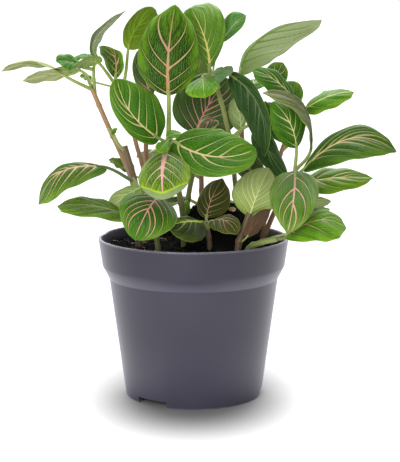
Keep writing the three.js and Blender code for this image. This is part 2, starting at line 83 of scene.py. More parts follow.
# %% [markdown]
# ## Formulas made of nodes
# Leaves follow a rule, so their shape and their colours are both formulas. A node tree is hard to read when
# it is built one link at a time. This small class lets one output of a tree stand in a sum, so that `a * b
# + 1` adds the two Math nodes that it needs. It works in geometry trees and in material trees alike, which
# is how the veins in the mesh and the veins in the paint come from the very same lines.


# %% Formula
def is_vector(value):
    return isinstance(value, Formula) and value.socket.type in ("VECTOR", "RGBA")


def feed(tree, socket, value):
    """Gives a socket a number, a colour, or another node's output."""
    if isinstance(value, Formula):
        tree.links.new(value.socket, socket)
    else:
        socket.default_value = value


class Formula:
    """One output of a node tree that can be used in sums."""

    def __init__(self, tree, socket):
        self.tree = tree
        self.socket = socket

    def work(self, operation, *others):
        vectors = is_vector(self) or any(is_vector(other) for other in others)
        node = self.tree.nodes.new("ShaderNodeVectorMath" if vectors else "ShaderNodeMath")
        node.operation = operation
        if operation == "SCALE":
            feed(self.tree, node.inputs["Vector"], self)
            feed(self.tree, node.inputs["Scale"], others[0])
        else:
            for socket, value in zip(node.inputs, (self, *others)):
                feed(self.tree, socket, value)
        number = vectors and operation in ("DOT_PRODUCT", "LENGTH")
        return Formula(self.tree, node.outputs[1 if number else 0])

    def __add__(self, other):
        return self.work("ADD", other)

    def __sub__(self, other):
        return self.work("SUBTRACT", other)

    def __mul__(self, other):
        if is_vector(self) and not is_vector(other):
            return self.work("SCALE", other)
        if is_vector(other) and not is_vector(self):
            return other.work("SCALE", self)
        return self.work("MULTIPLY", other)

    def __truediv__(self, other):
        return self.work("DIVIDE", other)

    def __pow__(self, other):
        return self.work("POWER", other)

    def __abs__(self):
        return self.work("ABSOLUTE")

    def __rsub__(self, other):
        return self * -1 + other

    def __lt__(self, other):
        return self.work("LESS_THAN", other)

    def __gt__(self, other):
        return self.work("GREATER_THAN", other)


print("formulas work in trees of both kinds")


# %% Steps, blends and parts of a vector
def step(value, low, high):
    """Rises smoothly from 0 to 1 while value goes from low to high; low may be the larger one."""
    node = value.tree.nodes.new("ShaderNodeMapRange")
    node.interpolation_type = "SMOOTHSTEP"
    feed(value.tree, node.inputs["Value"], value)
    feed(value.tree, node.inputs["From Min"], low)
    feed(value.tree, node.inputs["From Max"], high)
    return Formula(value.tree, node.outputs["Result"])


def from_0_to_1(value):
    """The value, but 0 where it is less than that and 1 where it is more."""
    return value.work("MINIMUM", 1.0).work("MAXIMUM", 0.0)


def blend_colours(share, first, second):
    """The first colour where share is 0 and the second where it is 1."""
    node = share.tree.nodes.new("ShaderNodeMix")
    node.data_type = "RGBA"
    feed(share.tree, node.inputs[0], share)
    feed(share.tree, node.inputs[6], first)
    feed(share.tree, node.inputs[7], second)
    return Formula(share.tree, node.outputs[2])


def pieces_of(vector):
    """The x, y and z of a vector."""
    node = vector.tree.nodes.new("ShaderNodeSeparateXYZ")
    feed(vector.tree, node.inputs[0], vector)
    return [Formula(vector.tree, output) for output in node.outputs]


def vector_of(tree, x, y, z):
    node = tree.nodes.new("ShaderNodeCombineXYZ")
    for socket, value in zip(node.inputs, (x, y, z)):
        feed(tree, socket, value)
    return Formula(tree, node.outputs[0])


def colour(code, gain=1.0):
    """A web colour such as 4f8a22 as linear red, green, blue and alpha."""
    parts = [int(code[k : k + 2], 16) / 255 for k in (0, 2, 4)]
    linear = [((p + 0.055) / 1.055) ** 2.4 if p > 0.04045 else p / 12.92 for p in parts]
    return (*(gain * p for p in linear), 1.0)


# %% [markdown]
# ## Trees that make meshes
# A geometry tree is written once and run many times with other settings, one run for each leaf, stalk or
# stem. The settings are handed over by each input's identifier before the tree first runs. The result is
# copied into a plain mesh, and the object with the modifier goes.


# %% Geometry trees
def geometry_tree(name, inputs):
    """A new geometry tree with named inputs: returns the tree and its inputs as formulas."""
    tree = bpy.data.node_groups.new(name, "GeometryNodeTree")
    tree.interface.new_socket("Geometry", in_out="INPUT", socket_type="NodeSocketGeometry")
    tree.interface.new_socket("Geometry", in_out="OUTPUT", socket_type="NodeSocketGeometry")
    for label, kind in inputs.items():
        tree.interface.new_socket(label, in_out="INPUT", socket_type="NodeSocket" + kind)
    source = tree.nodes.new("NodeGroupInput")
    return tree, {socket.name: Formula(tree, socket) for socket in source.outputs if socket.name}


def node_of(tree, kind, settings=None, **inputs):
    """Adds a node, sets its own settings and feeds its inputs, whose names are written with underscores."""
    node = tree.nodes.new(kind)
    for key, value in (settings or {}).items():
        setattr(node, key, value)
    for key, value in inputs.items():
        feed(tree, node.inputs[key.replace("_", " ")], value)
    return node


def out(node, which=0):
    return Formula(node.id_data, node.outputs[which])


def ends_with(tree, geometry, finish):
    """Realizes what was scattered, smooths it, gives it its finish and hands it out of the tree."""
    real = node_of(tree, "GeometryNodeRealizeInstances", Geometry=geometry)
    smooth = node_of(tree, "GeometryNodeSetShadeSmooth", Geometry=out(real))
    painted = node_of(tree, "GeometryNodeSetMaterial", Geometry=out(smooth), Material=finish)
    target = tree.nodes.new("NodeGroupOutput")
    tree.links.new(painted.outputs[0], target.inputs["Geometry"])


def made_plain(thing):
    """A plain mesh object in place of one that a curve or a modifier shapes."""
    mesh = bpy.data.meshes.new_from_object(thing.evaluated_get(bpy.context.evaluated_depsgraph_get()))
    name = thing.name
    bpy.data.objects.remove(thing)
    return placed(name, mesh)


def grown(tree, start, settings):
    """Runs a tree once on a mesh or a curve and returns the object that it makes."""
    seed = placed(start.name, start)
    modifier = seed.modifiers.new("grow", "NODES")
    modifier.node_group = tree
    for item in tree.interface.items_tree:
        if item.in_out == "INPUT" and item.name in settings:
            modifier[item.identifier] = settings[item.name]
    return made_plain(seed)


def joined(name, objects):
    """Several objects made one, with their finishes and attributes kept."""
    with bpy.context.temp_override(active_object=objects[0], selected_editable_objects=objects):
        bpy.ops.object.join()
    objects[0].name = name
    objects[0].data.name = name
    return objects[0]


def object_of(name, body):
    """The object of a body that was put together face by face."""
    mesh = bpy.data.meshes.new(name)
    body.to_mesh(mesh)
    body.free()
    return placed(name, mesh)


def smooth(piece):
    for face in piece.data.polygons:
        face.use_smooth = True


def count(piece):
    """How many triangles a piece has, and its volume, which is above 0 when its faces point outwards."""
    body = bmesh.new()
    body.from_mesh(piece.data)
    volume = body.calc_volume(signed=True) / MM**3
    triangles = sum(len(face.verts) - 2 for face in body.faces)
    body.free()
    return f"{piece.name}: {triangles} triangles, {volume:.0f} cubic mm"


# %% [markdown]
# ## Where the veins run
# A nerve plant's blade has one strong midrib. Side veins leave it at an almost even spacing, swing out and
# bend forward along the margin, and those on the right stand a little further on than those on the left.
# Along the blade a point is at `u`, from 0 at the base to 1 at the tip. Across it, it is at `v`, from -1 at
# the left margin to 1 at the right one. Going back along the curve of the side veins tells where on the
# midrib a point's own vein starts. How far that start lies from the nearest real vein tells how far the
# point is from it.

# %% Veins
VEIN_LEAN = 0.12
LEAN_GROWTH = 1.25
FIRST_VEIN = 0.03
FIRST_VEIN_FADE = 0.02
LAST_VEIN = 0.6
LAST_VEIN_FADE = 0.06
OPPOSITE_SHIFT = 0.2
VEIN_WANDER = 0.15
WANDER_PACE = 2.3
WANDER_START = 9
WANDER_ON_RIGHT = 2
NARROWEST_HALF = 0.5

Habit = namedtuple("Habit", "length veins seed bold lean curl")


def vein_start(u, v, habit):
    """Where on the midrib the side vein through this point starts."""
    away = abs(v)
    leant = away * habit.lean
    return (u - leant * VEIN_LEAN - away * away * away * habit.curl) / (leant * LEAN_GROWTH + 1)


def from_side_vein(u, v, habit):
    """How far a point is from the nearest side vein: 0 on it, 1 halfway to the next."""
    on_right = v > 0
    turn = vein_start(u, v, habit) * habit.veins + on_right * OPPOSITE_SHIFT + habit.seed
    wander = (turn * WANDER_PACE + habit.seed * WANDER_START + on_right * WANDER_ON_RIGHT).work("SINE")
    return abs((turn + wander * VEIN_WANDER).work("FRACT") - 0.5) * 2


def vein_gap(u, v, half_width, habit):
    """Half the way from one side vein to the next, in millimetres, where the point is."""
    away = abs(v)

    # The slope of the vein's curve. The 3 comes from its third power of away.
    lean = (vein_start(u, v, habit) * LEAN_GROWTH + VEIN_LEAN) * habit.lean + away * away * habit.curl * 3
    over = lean / half_width.work("MAXIMUM", NARROWEST_HALF)
    steepness = (over * over + habit.length**-2).work("SQRT")
    return (away * habit.lean * LEAN_GROWTH + 1) / (steepness * habit.veins) * 0.5


def has_side_veins(u, v, habit):
    """1 where side veins can be, 0 beyond the first and the last."""
    start = vein_start(u, v, habit)
    begun = step(start, FIRST_VEIN - FIRST_VEIN_FADE, FIRST_VEIN)
    return begun * step(start, LAST_VEIN, LAST_VEIN - LAST_VEIN_FADE)


# %% [markdown]
# ## Materials made of nodes
# Every finish starts from a Principled node. Colours, roughness and small bumps come from noises in the
# object's own coordinates and from attributes that its mesh carries.

# %% Tools for materials
def material(name):
    """A new material: returns it, its tree and its Principled node."""
    finish = bpy.data.materials.new(name)
    finish.use_nodes = True
    return finish, finish.node_tree, finish.node_tree.nodes["Principled BSDF"]


def attribute(tree, name, which="Color"):
    node = tree.nodes.new("ShaderNodeAttribute")
    node.attribute_name = name
    return Formula(tree, node.outputs[which])


def cloud(tree, place, scale, detail=3.0, rough=0.55):
    """A soft noise from 0 to 1, at a scale per metre."""
    node = tree.nodes.new("ShaderNodeTexNoise")
    feed(tree, node.inputs["Vector"], place)
    node.inputs["Scale"].default_value = scale
    node.inputs["Detail"].default_value = detail
    node.inputs["Roughness"].default_value = rough
    return Formula(tree, node.outputs[0])


def object_place(tree):
    return Formula(tree, tree.nodes.new("ShaderNodeTexCoord").outputs["Object"])


def bump(tree, height, distance, strength=1.0):
    node = tree.nodes.new("ShaderNodeBump")
    node.inputs["Strength"].default_value = strength
    node.inputs["Distance"].default_value = distance
    feed(tree, node.inputs["Height"], height)
    return Formula(tree, node.outputs[0])


print("tools for materials are ready")

# %% [markdown]
# ## Finish of the leaves
# The upper side is green and lighter towards the margin and the tip, with a thin pale line along the margin
# and a few brown specks. Beside the side veins the green is painted darker, as painted shade in the grooves
# of the quilting. Its ribs are pink, cream or yellow-green. The lower side is paler, and greener near the
# stalk. Its ribs are lighter than the blade, or darker on the leaves with faint side veins. From `fold` on,
# a tip is painted in the colour of the lower side, as painted sheen of a tip bent down, with a painted
# highlight along the crease; the mesh is not folded. Each leaf carries its own colours as attributes, so
# one material serves all of them. `blade` holds u, v and which side it is. `leaf_mm` holds the leaf's
# length, the half width at that point and how many side veins it has. `leaf_habit` holds its own number,
# how bold its midrib is and how much its side veins stand out. `leaf_form` holds how far its side veins
# lean forward, from where on its tip is painted as folded down, and how much the veins curl.

# %% Veins in the paint and in the mesh
USUAL_LENGTH = 55.0
RIB_HALF = 0.8
RIB_TIP_HALF = 0.2
RIB_TAPER = 1.2
RIB_SOFT = 0.5
RIB_FADES = (0.97, 0.9)
SIDE_HALF = 0.38
SIDE_TIP_HALF = 0.16
SIDE_THINS = (1.0, 0.2)
SIDE_SOFT = 0.3
SIDE_FADES_ACROSS = (0.97, 0.82)
SIDE_FADES_ALONG = (0.97, 0.85)
WEB_REACH = (3.5, 0.4)
WEB_HALF = 0.26


def leaf_veins(u, v, half_width, habit):
    """How much of a point is midrib and how much is side vein, both from 0 to 1."""
    size = habit.length / USUAL_LENGTH
    rib_half = ((1 - u).work("MAXIMUM", 0.0) ** RIB_TAPER * RIB_HALF * habit.bold + RIB_TIP_HALF) * size
    from_rib = abs(v) * half_width
    rib = step(from_rib, rib_half, rib_half * RIB_SOFT) * step(u, *RIB_FADES)
    webbing = step(from_rib, *WEB_REACH) * habit.bold * WEB_HALF
    side_half = (step(abs(v), *SIDE_THINS) * SIDE_HALF + SIDE_TIP_HALF + webbing) * size
    from_side = from_side_vein(u, v, habit) * vein_gap(u, v, half_width, habit)
    fading = step(abs(v), *SIDE_FADES_ACROSS) * step(u, *SIDE_FADES_ALONG)
    side = step(from_side, side_half, side_half * SIDE_SOFT) * has_side_veins(u, v, habit) * fading
    return rib, side


print("the midrib's half width at the base is", RIB_HALF + RIB_TIP_HALF, "mm")

# %% Leaf material
MARGIN_LIGHT = 0.75
MARGIN_REACH = (0.5, 1.0)
TIP_LIGHT = 0.6
TIP_REACH = (0.6, 1.0)
PATCH_LIGHT = 0.8
MOTTLE_LIGHT = 0.6
VEIN_SHADE_REACH = (0.7, 0.0)
VEIN_SHADE_SHARE = 0.5
VEIN_SHADE_GAIN = 0.45
LADDER_GAP = 1.5
LADDER_TILT = 3
LADDER_WANDER = 3.2
RUNG_SOFT = (0.5, 1.0)
RUNG_FROM_VEIN = (0.05, 0.4)
LADDER_SHARE = 0.5
LADDER_GAIN = 1.15
LADDER_SHARE_BELOW = 0.22
RIB_TO_SIDE_TONE = (0.03, 0.55)
SIDE_VEIN_PALES = (1.6, 0.2)
EDGE_LINE = (0.45, 0.45 * 0.3)
EDGE_SHARE = 0.7
EDGE_GREEN = colour("98b455")
# The painted highlight along a crease and the painted sheen of a tip bent down.
FOLD_BEND = 0.22
FOLD_CREASE = 0.04
CREASE_HIGHLIGHT_GAIN = 1.3
FOLD_EDGE = 0.03
SPECK = colour("54401c")
SPECK_FROM = (0.7, 0.75)
SPECK_SHARE = 0.6
BELOW_MARGIN_SHARE = 0.7
BELOW_MARGIN_GAIN = 0.75
GREEN_AT_STALK = 0.6
GREEN_REACH = (0.5, 0.05)
LIGHT_VEIN_GAIN = (2.0, 1.8, 2.1)
DARK_VEIN_GAIN = (0.36, 0.52, 0.16)
FAINT_FROM = (0.5, 0.42)
LEAST_VEIN_BELOW = 0.2
STRONG_VEIN_BELOW = 0.75
FAINT_VEIN_BELOW = 0.4
LEAF_ROUGH = 0.42
MOTTLE_ROUGH = 0.2
LOWER_ROUGH = 0.15
RUNG_RAISED = 0.5
VEIN_RAISED = 0.7
GRAIN_RAISED = 0.3
RAISED_BY = 0.22 * MM


def light_part(tree, u, v, mottle):
    """How much of the margin's lighter tone a point has, from 0 to 1."""
    patches = cloud(tree, object_place(tree), scale=90, detail=2.0)
    towards = step(abs(v), *MARGIN_REACH) * MARGIN_LIGHT + step(u, *TIP_REACH) * TIP_LIGHT
    return from_0_to_1(towards + (patches - 0.5) * PATCH_LIGHT + (mottle - 0.5) * MOTTLE_LIGHT)


def upper_side(tree, tones, u, v, half_width, light, between, rung, line, fold):
    green = blend_colours(light, tones["blade"], tones["edge"])
    # Painted shade: the green is darkened beside the side veins, where the quilted grooves lie in shade.
    vein_shade = step(between, *VEIN_SHADE_REACH) * VEIN_SHADE_SHARE
    vein_shaded = blend_colours(vein_shade, green, tones["blade"] * VEIN_SHADE_GAIN)
    laddered = blend_colours(rung * LADDER_SHARE, vein_shaded, tones["edge"] * LADDER_GAIN)
    vein_tone = blend_colours(step(abs(v), *RIB_TO_SIDE_TONE), tones["rib"], tones["side"])
    veined = blend_colours(line, laddered, vein_tone)
    at_edge = step((1 - abs(v)) * half_width, *EDGE_LINE) * EDGE_SHARE
    rimmed = blend_colours(at_edge, veined, EDGE_GREEN)
    # Painted highlight along the crease, then painted sheen of a bent-down tip: past `fold` the tip takes
    # the lower side's grey-green, while the mesh stays unfolded.
    bent = u + v * v * FOLD_BEND
    crease_highlighted = blend_colours(step(bent, fold - FOLD_CREASE, fold), rimmed, tones["edge"] * CREASE_HIGHLIGHT_GAIN)
    tip_sheen_painted = blend_colours(step(bent, fold, fold + FOLD_EDGE), crease_highlighted, tones["under"])
    specks = step(cloud(tree, object_place(tree), scale=700, detail=1.0), *SPECK_FROM) * SPECK_SHARE
    return blend_colours(specks, tip_sheen_painted, SPECK)


def lower_side(tree, tones, u, light, rung, veins, strong):
    under = tones["under"]
    pale = blend_colours(light * BELOW_MARGIN_SHARE, under, under * BELOW_MARGIN_GAIN)
    greener = blend_colours(step(u, *GREEN_REACH) * GREEN_AT_STALK, pale, tones["edge"])
    faint = step(strong, *FAINT_FROM)
    light_vein = under * vector_of(tree, *LIGHT_VEIN_GAIN)
    dark_vein = under * vector_of(tree, *DARK_VEIN_GAIN)
    vein = blend_colours(faint, light_vein, dark_vein)
    laddered = blend_colours(rung * LADDER_SHARE_BELOW, greener, vein)
    shown = strong * STRONG_VEIN_BELOW + LEAST_VEIN_BELOW + faint * FAINT_VEIN_BELOW
    return blend_colours(veins * shown, laddered, vein)


def leaf_material():
    finish, tree, shader = material("leaf")
    u, v, lower = pieces_of(attribute(tree, "blade", "Vector"))
    length, half_width, veins = pieces_of(attribute(tree, "leaf_mm", "Vector"))
    seed, bold, strong = pieces_of(attribute(tree, "leaf_habit", "Vector"))
    lean, fold, curl = pieces_of(attribute(tree, "leaf_form", "Vector"))
    tones = {part: attribute(tree, "tone_" + part) for part in ("blade", "edge", "rib", "side", "under")}
    habit = Habit(length, veins, seed, bold, lean, curl)
    rib, side = leaf_veins(u, v, half_width, habit)
    between = from_side_vein(u, v, habit)
    mottle = cloud(tree, object_place(tree), scale=300)
    light = light_part(tree, u, v, mottle)

    # Small veins run like the rungs of a ladder from one side vein to the next.
    rungs = abs(v) * half_width / LADDER_GAP + u * LADDER_TILT + (mottle - 0.5) * LADDER_WANDER
    from_rung = abs(rungs.work("FRACT") - 0.5) * 2
    rung = step(from_rung, *RUNG_SOFT) * step(between, *RUNG_FROM_VEIN)
    line = (rib + side * strong * step(abs(v), *SIDE_VEIN_PALES)).work("MINIMUM", 1.0)
    upper = upper_side(tree, tones, u, v, half_width, light, between, rung, line, fold)
    below = lower_side(tree, tones, u, light, rung, (rib + side).work("MINIMUM", 1.0), strong)
    feed(tree, shader.inputs["Base Color"], blend_colours(lower, upper, below))
    feed(tree, shader.inputs["Roughness"], lower * LOWER_ROUGH + mottle * MOTTLE_ROUGH + LEAF_ROUGH)
    grain = cloud(tree, object_place(tree), scale=2400, detail=2.0)
    relief = (rung * RUNG_RAISED + (rib + side) * VEIN_RAISED) * (lower * 2 - 1)
    feed(tree, shader.inputs["Normal"], bump(tree, relief + grain * GRAIN_RAISED, RAISED_BY, strength=0.7))
    shader.inputs["Specular IOR Level"].default_value = 0.16
    return finish


LEAF = leaf_material()
print("leaf material has", len(LEAF.node_tree.nodes), "nodes")

# %% [markdown]
# ## The shape of a blade
# The midrib is a parabola through the base, the middle and the tip. The blade is carried along it on two
# arms that reach from its middle to the left and the right margin. A rule for the outline narrows both arms
# towards the ends. On top of that come the arch of each half, the wave of the margin, the quilting between
# the side veins, and the ribs, which are grooves above and ridges below. Two sheets of one grid make the
# upper and the lower side. They meet at the margin, where the blade's thickness runs out, and are welded.

# %% Blade tree
BLADE_THICK = 0.55
BLADE_ARCH = 0.16
CUSP_REACH = (0.88, 0.985)
EDGE_WAVE = 0.6
EDGE_WAVES = 5
EDGE_WAVE_START = 6.3
RIGHT_EDGE_SHIFT = 2
EDGE_ROUNDING = 4
END_ROUNDING = 8
QUILT_HEIGHT = 0.7
QUILT_FROM_VEIN = (0.0, 0.85)
QUILT_FROM_RIB = (0.04, 0.3)
QUILT_FROM_EDGE = (0.98, 0.7)
QUILT_FROM_TIP = (0.98, 0.9)
RIB_SHOULDER = 2.2
RIB_RELIEF_FADES = (1.0, 0.9)
RIB_GROOVE = 0.35
RIB_RIDGE = 0.75
SIDE_RIDGE = 0.22
WELD = 0.004

BLADE_INPUTS = {
    "Base": "Vector",
    "Knee": "Vector",
    "Tip": "Vector",
    "Across": "Vector",
    "Left arm": "Vector",
    "Right arm": "Vector",
    "Widest": "Float",
    "Fullness": "Float",
    "Sweep": "Float",
    "Cusp": "Float",
    "Lean": "Float",
    "Curl": "Float",
    "Fold": "Float",
    "Rows": "Int",
    "Columns": "Int",
    "Length": "Float",
    "Veins": "Float",
    "Number": "Float",
    "Bold": "Float",
    "Strong": "Float",
    "Blade tone": "Color",
    "Edge tone": "Color",
    "Rib tone": "Color",
    "Side tone": "Color",
    "Under tone": "Color",
    "Finish": "Material",
}


def stored(tree, geometry, name, kind, value):
    """Stores a value as a named attribute on every point."""
    node = tree.nodes.new("GeometryNodeStoreNamedAttribute")
    node.data_type = kind
    node.domain = "POINT"
    feed(tree, node.inputs["Geometry"], geometry)
    node.inputs["Name"].default_value = name
    feed(tree, node.inputs["Value"], value)
    return out(node)


def named(tree, name):
    node = node_of(tree, "GeometryNodeInputNamedAttribute", {"data_type": "FLOAT"}, Name=name)
    return out(node)


def swell(u, widest):
    """Half width along the blade, before it is scaled: 0 at both ends and most at widest."""
    before = (u / widest) ** widest
    after = ((1 - u) / (1 - widest)) ** (1 - widest)
    return before * after


def blade_tree():
    tree, given = geometry_tree("leaf blade", BLADE_INPUTS)
    squares = {"Vertices_X": given["Rows"], "Vertices_Y": given["Columns"]}
    grid = node_of(tree, "GeometryNodeMeshGrid", Size_X=1.0, Size_Y=2.0, **squares)
    flipped = node_of(tree, "GeometryNodeFlipFaces", Mesh=out(grid))
    upper = stored(tree, out(flipped), "lower", "FLOAT", 0.0)
    lower = stored(tree, out(grid), "lower", "FLOAT", 1.0)
    both = tree.nodes.new("GeometryNodeJoinGeometry")
    for sheet in (upper, lower):
        tree.links.new(sheet.socket, both.inputs[0])

    x, v, _ = pieces_of(out(tree.nodes.new("GeometryNodeInputPosition")))
    u = from_0_to_1(x + 0.5)
    side = named(tree, "lower")
    rest = 1 - u
    rib_line = given["Base"] * (rest * rest) + given["Knee"] * (u * rest * 2) + given["Tip"] * (u * u)
    forward = (given["Knee"] - given["Base"]) * rest + (given["Tip"] - given["Knee"]) * u
    along = forward.work("NORMALIZE")
    across = (given["Across"] - along * given["Across"].work("DOT_PRODUCT", along)).work("NORMALIZE")
    up = across.work("CROSS_PRODUCT", along)

    is_left = v < 0.0
    left_arm = pieces_of(given["Left arm"])
    right_arm = pieces_of(given["Right arm"])
    reach = left_arm[0] * is_left + right_arm[0] * (1 - is_left)
    lift = left_arm[1] * is_left + right_arm[1] * (1 - is_left)
    half = (reach * reach + lift * lift).work("SQRT")
    widest = given["Widest"]
    middle_swell = swell(widest * 0 + 0.5, widest)
    narrowed = 1 - step(u, *CUSP_REACH) * given["Cusp"]
    width = (swell(u, widest) / middle_swell) ** given["Fullness"] * narrowed

    away = abs(v)
    arch = half * width * away * (1 - away) * BLADE_ARCH
    shift = (1 - is_left) * RIGHT_EDGE_SHIFT
    ripple = (u * EDGE_WAVES * math.pi + shift + given["Number"] * EDGE_WAVE_START).work("SINE")
    wave = width * away * away * away * ripple * EDGE_WAVE * MM
    size = given["Length"] / USUAL_LENGTH
    habit = Habit(*(given[name] for name in ("Length", "Veins", "Number", "Bold", "Lean", "Curl")))
    between = from_side_vein(u, v, habit)
    pillow = step(between, *QUILT_FROM_VEIN) * step(away, *QUILT_FROM_RIB) * step(away, *QUILT_FROM_EDGE)
    pillow = pillow * has_side_veins(u, v, habit)
    quilt = pillow * size * QUILT_HEIGHT * MM * step(u, *QUILT_FROM_TIP)
    half_mm = half * width / MM
    _, side_vein = leaf_veins(u, v, half_mm, habit)
    near_rib = step(away * half_mm, size * RIB_SHOULDER, 0.0) * step(u, *RIB_RELIEF_FADES)
    groove = near_rib * size * -RIB_GROOVE * MM
    ridge = near_rib * size * RIB_RIDGE * MM + side_vein * size * SIDE_RIDGE * MM

    across_edge = (1 - away**EDGE_ROUNDING).work("MAXIMUM", 0.0).work("SQRT")
    edge = across_edge * (1 - (u * 2 - 1) ** END_ROUNDING).work("MAXIMUM", 0.0)
    thick = edge * BLADE_THICK * MM * 0.5
    above = arch + wave + quilt + groove * (1 - side) + thick * (1 - side) - (thick + ridge * edge) * side
    forward_sweep = half * width * away * away * given["Sweep"]
    flat = rib_line + across * (reach * away * width)
    spot = flat + up * (lift * away * width + above) + along * forward_sweep

    # The place on the blade and the leaf's own numbers are stored while both sheets are still flat grids.
    facts = {
        "blade": (u, v, side),
        "leaf_mm": (given["Length"], half_mm, given["Veins"]),
        "leaf_habit": (given["Number"], given["Bold"], given["Strong"]),
        "leaf_form": (given["Lean"], given["Fold"], given["Curl"]),
    }
    kept = out(both)
    for name, numbers in facts.items():
        kept = stored(tree, kept, name, "FLOAT_VECTOR", vector_of(tree, *numbers))
    for tone in ("Blade", "Edge", "Rib", "Side", "Under"):
        kept = stored(tree, kept, "tone_" + tone.lower(), "FLOAT_COLOR", given[tone + " tone"])
    moved = node_of(tree, "GeometryNodeSetPosition", Geometry=kept, Position=spot)
    welded = node_of(tree, "GeometryNodeMergeByDistance", Geometry=out(moved), Distance=WELD * MM)
    ends_with(tree, out(welded), given["Finish"])
    return tree


BLADE_TREE = blade_tree()
print("blade tree has", len(BLADE_TREE.nodes), "nodes")

# %% [markdown]
# ## Colours of the leaves
# No two leaves of the plant have quite the same colours. Old ones are dark with pink ribs, those in the
# light are mid green with cream ribs, and young ones are a fresh yellow-green. Each look has the colour of
# the blade, of its margin, of the midrib, of the side veins and of the lower side. Then come two numbers:
# `bold` tells how bold the midrib is, and `strong` how much the side veins stand out.

# %% Looks
Look = namedtuple("Look", "blade edge rib side under bold strong")
LOOKS = {
    "dark": Look("1d3b06", "669612", "b48c64", "c4b07c", "7d8f52", 1.8, 1.0),
    "rosy": Look("324c24", "587434", "cc8e84", "c8968a", "8a9a62", 1.0, 1.0),
    "vivid": Look("2a560c", "53850f", "d8988a", "d8a888", "8a9a62", 1.1, 1.0),
    "dusky": Look("2d3a0e", "484e13", "bc9470", "b4986c", "7a7a4a", 0.9, 0.95),
    "cream": Look("326310", "598818", "d8ca8c", "b0bc68", "86985a", 0.8, 0.85),
    "deep": Look("2b5b0c", "4a7a11", "d0c88c", "90b050", "86985a", 0.8, 0.75),
    "curled": Look("3a6418", "92ae20", "e6b0a4", "d6c68c", "84985e", 3.2, 1.0),
    "yellow": Look("4e7820", "709c2a", "dccf7c", "9cb45c", "86985a", 1.7, 0.6),
    "cool": Look("50803c", "6c9a48", "a5b87c", "80a662", "7c9a62", 0.8, 0.5),
    "light": Look("4f7814", "7f9c2c", "b4c468", "a0b44e", "5a7618", 1.5, 1.0),
    "fresh": Look("4a800b", "76a312", "b4cc64", "98bc4a", "74983a", 0.8, 0.5),
    "young": Look("488010", "7aa622", "d4d080", "98b454", "64883a", 1.0, 0.45),
    "leafy": Look("2c6408", "4c8c0e", "a0c060", "7cac40", "5a7a34", 0.7, 0.5),
    "gold": Look("466c0a", "668e10", "dcc088", "c4b864", "8aa04a", 0.8, 0.75),
    "faded": Look("8a9c58", "a0b45c", "c0c49c", "a8b080", "a8ae7c", 0.8, 0.3),
    "grey": Look("4a7440", "70945a", "a8b880", "86a468", "5f7c50", 0.7, 0.4),
    "bright": Look("4a7a14", "70a01c", "d0b878", "c0b060", "8aa04a", 0.8, 0.6),
    # Painted shade: this low leaf hangs in shade, so its blade and lower side are painted very dark.
    "rimmed": Look("26320e", "44541a", "b8d048", "7c9830", "4a5a24", 2.2, 0.5),
    "long": Look("1e3e12", "3c5c28", "6c7c4c", "5a7044", "46622e", 0.7, 0.6),
    "striped": Look("3c6018", "648c24", "dcb494", "d4b884", "8a9a60", 1.2, 1.0),
    "satin": Look("2d5110", "557b1d", "d4be88", "a4b468", "8a9a60", 0.7, 0.6),
    "sage": Look("4a6e20", "6a9030", "dcb096", "d8b490", "8a9a60", 0.9, 1.0),
    "plain": Look("46641a", "668822", "8c9c58", "7f944c", "6c8840", 0.6, 0.3),
    "silver": Look("4c6a34", "5c7c2c", "a8b078", "90a068", "929f70", 0.9, 0.4),
    "silvery": Look("5c7a40", "7a9850", "a8b078", "90a068", "86926e", 0.8, 0.5),
    "pale": Look("57760f", "789529", "c8cc80", "b8c070", "8e9c5e", 1.2, 1.0),
    "dull": Look("56683a", "7c8450", "a8987c", "8c8458", "76744c", 0.5, 0.4),
    "brown": Look("4a3224", "5c4630", "8a6c58", "6c5844", "54402c", 0.6, 0.6),
}
print(len(LOOKS), "looks")

# %% [markdown]
# ## The stems and their leaves
# These are the places that the plain solids were made from, in millimetres. A leaf is given by where its
# blade starts, the middle of its midrib, its tip, and the middle of its left and right margin, as its upper
# side is seen with the tip away. Then come how far along it is widest, and its look. A stalk starts on its
# stem, and may go by another point on its way. A lower `full` makes the outline rounder, `sweep` carries
# the margin forward, `cusp` draws the tip out, `lean` tells how steeply the side veins go forward, and
# `curl` how much they bend along the margin. From `fold` on, a tip is painted as folded down, though its
# mesh is not folded. `veins` gives a leaf more side veins than usual, or fewer, and `thick` and `bark`
# change its stalk.

# %% Rows of stems and leaves
NO_FOLD = 3.0
USUAL_FORM = {
    "full": 1.15,
    "sweep": 0.0,
    "cusp": 0.4,
    "lean": 0.8,
    "curl": 0.25,
    "fold": NO_FOLD,
    "veins": 1.0,
    "thick": 1.0,
    "bark": "stalk",
}
PALE_STALKED = ("striped", "rosy", "vivid")

LEAF_PARTS = "base mid tip left right widest look start via small".split()
Leaf = namedtuple("Leaf", [*LEAF_PARTS, *USUAL_FORM])
Stem = namedtuple("Stem", "name radius bark paths leaves")
STEMS = []


def new_stem(name, radius, bark, *paths):
    """Starts a stem, which is its main path and any side shoots."""
    STEMS.append(Stem(name, radius, bark, paths, []))


def leaf(base, mid, tip, left, right, widest, look, start=None, via=(), small=False, **form):
    """Adds a leaf to the newest stem."""
    if look in PALE_STALKED:
        form = {"bark": "pale"} | form
    form = USUAL_FORM | form
    STEMS[-1].leaves.append(Leaf(base, mid, tip, left, right, widest, look, start, via, small, **form))


def tally():
    return f"{len(STEMS)} stems with {sum(len(stem.leaves) for stem in STEMS)} leaves"


print("a leaf's usual form:", USUAL_FORM)

# %% [markdown]
# ## Front, top and middle stems
# These three carry the leaves that are seen first: the tall one in the middle, the two wide ones beside it,
# the one that hangs with its tip folded down, and the big leaf with many pink veins behind them. Two long
# dark leaves droop at the right of the top stem.

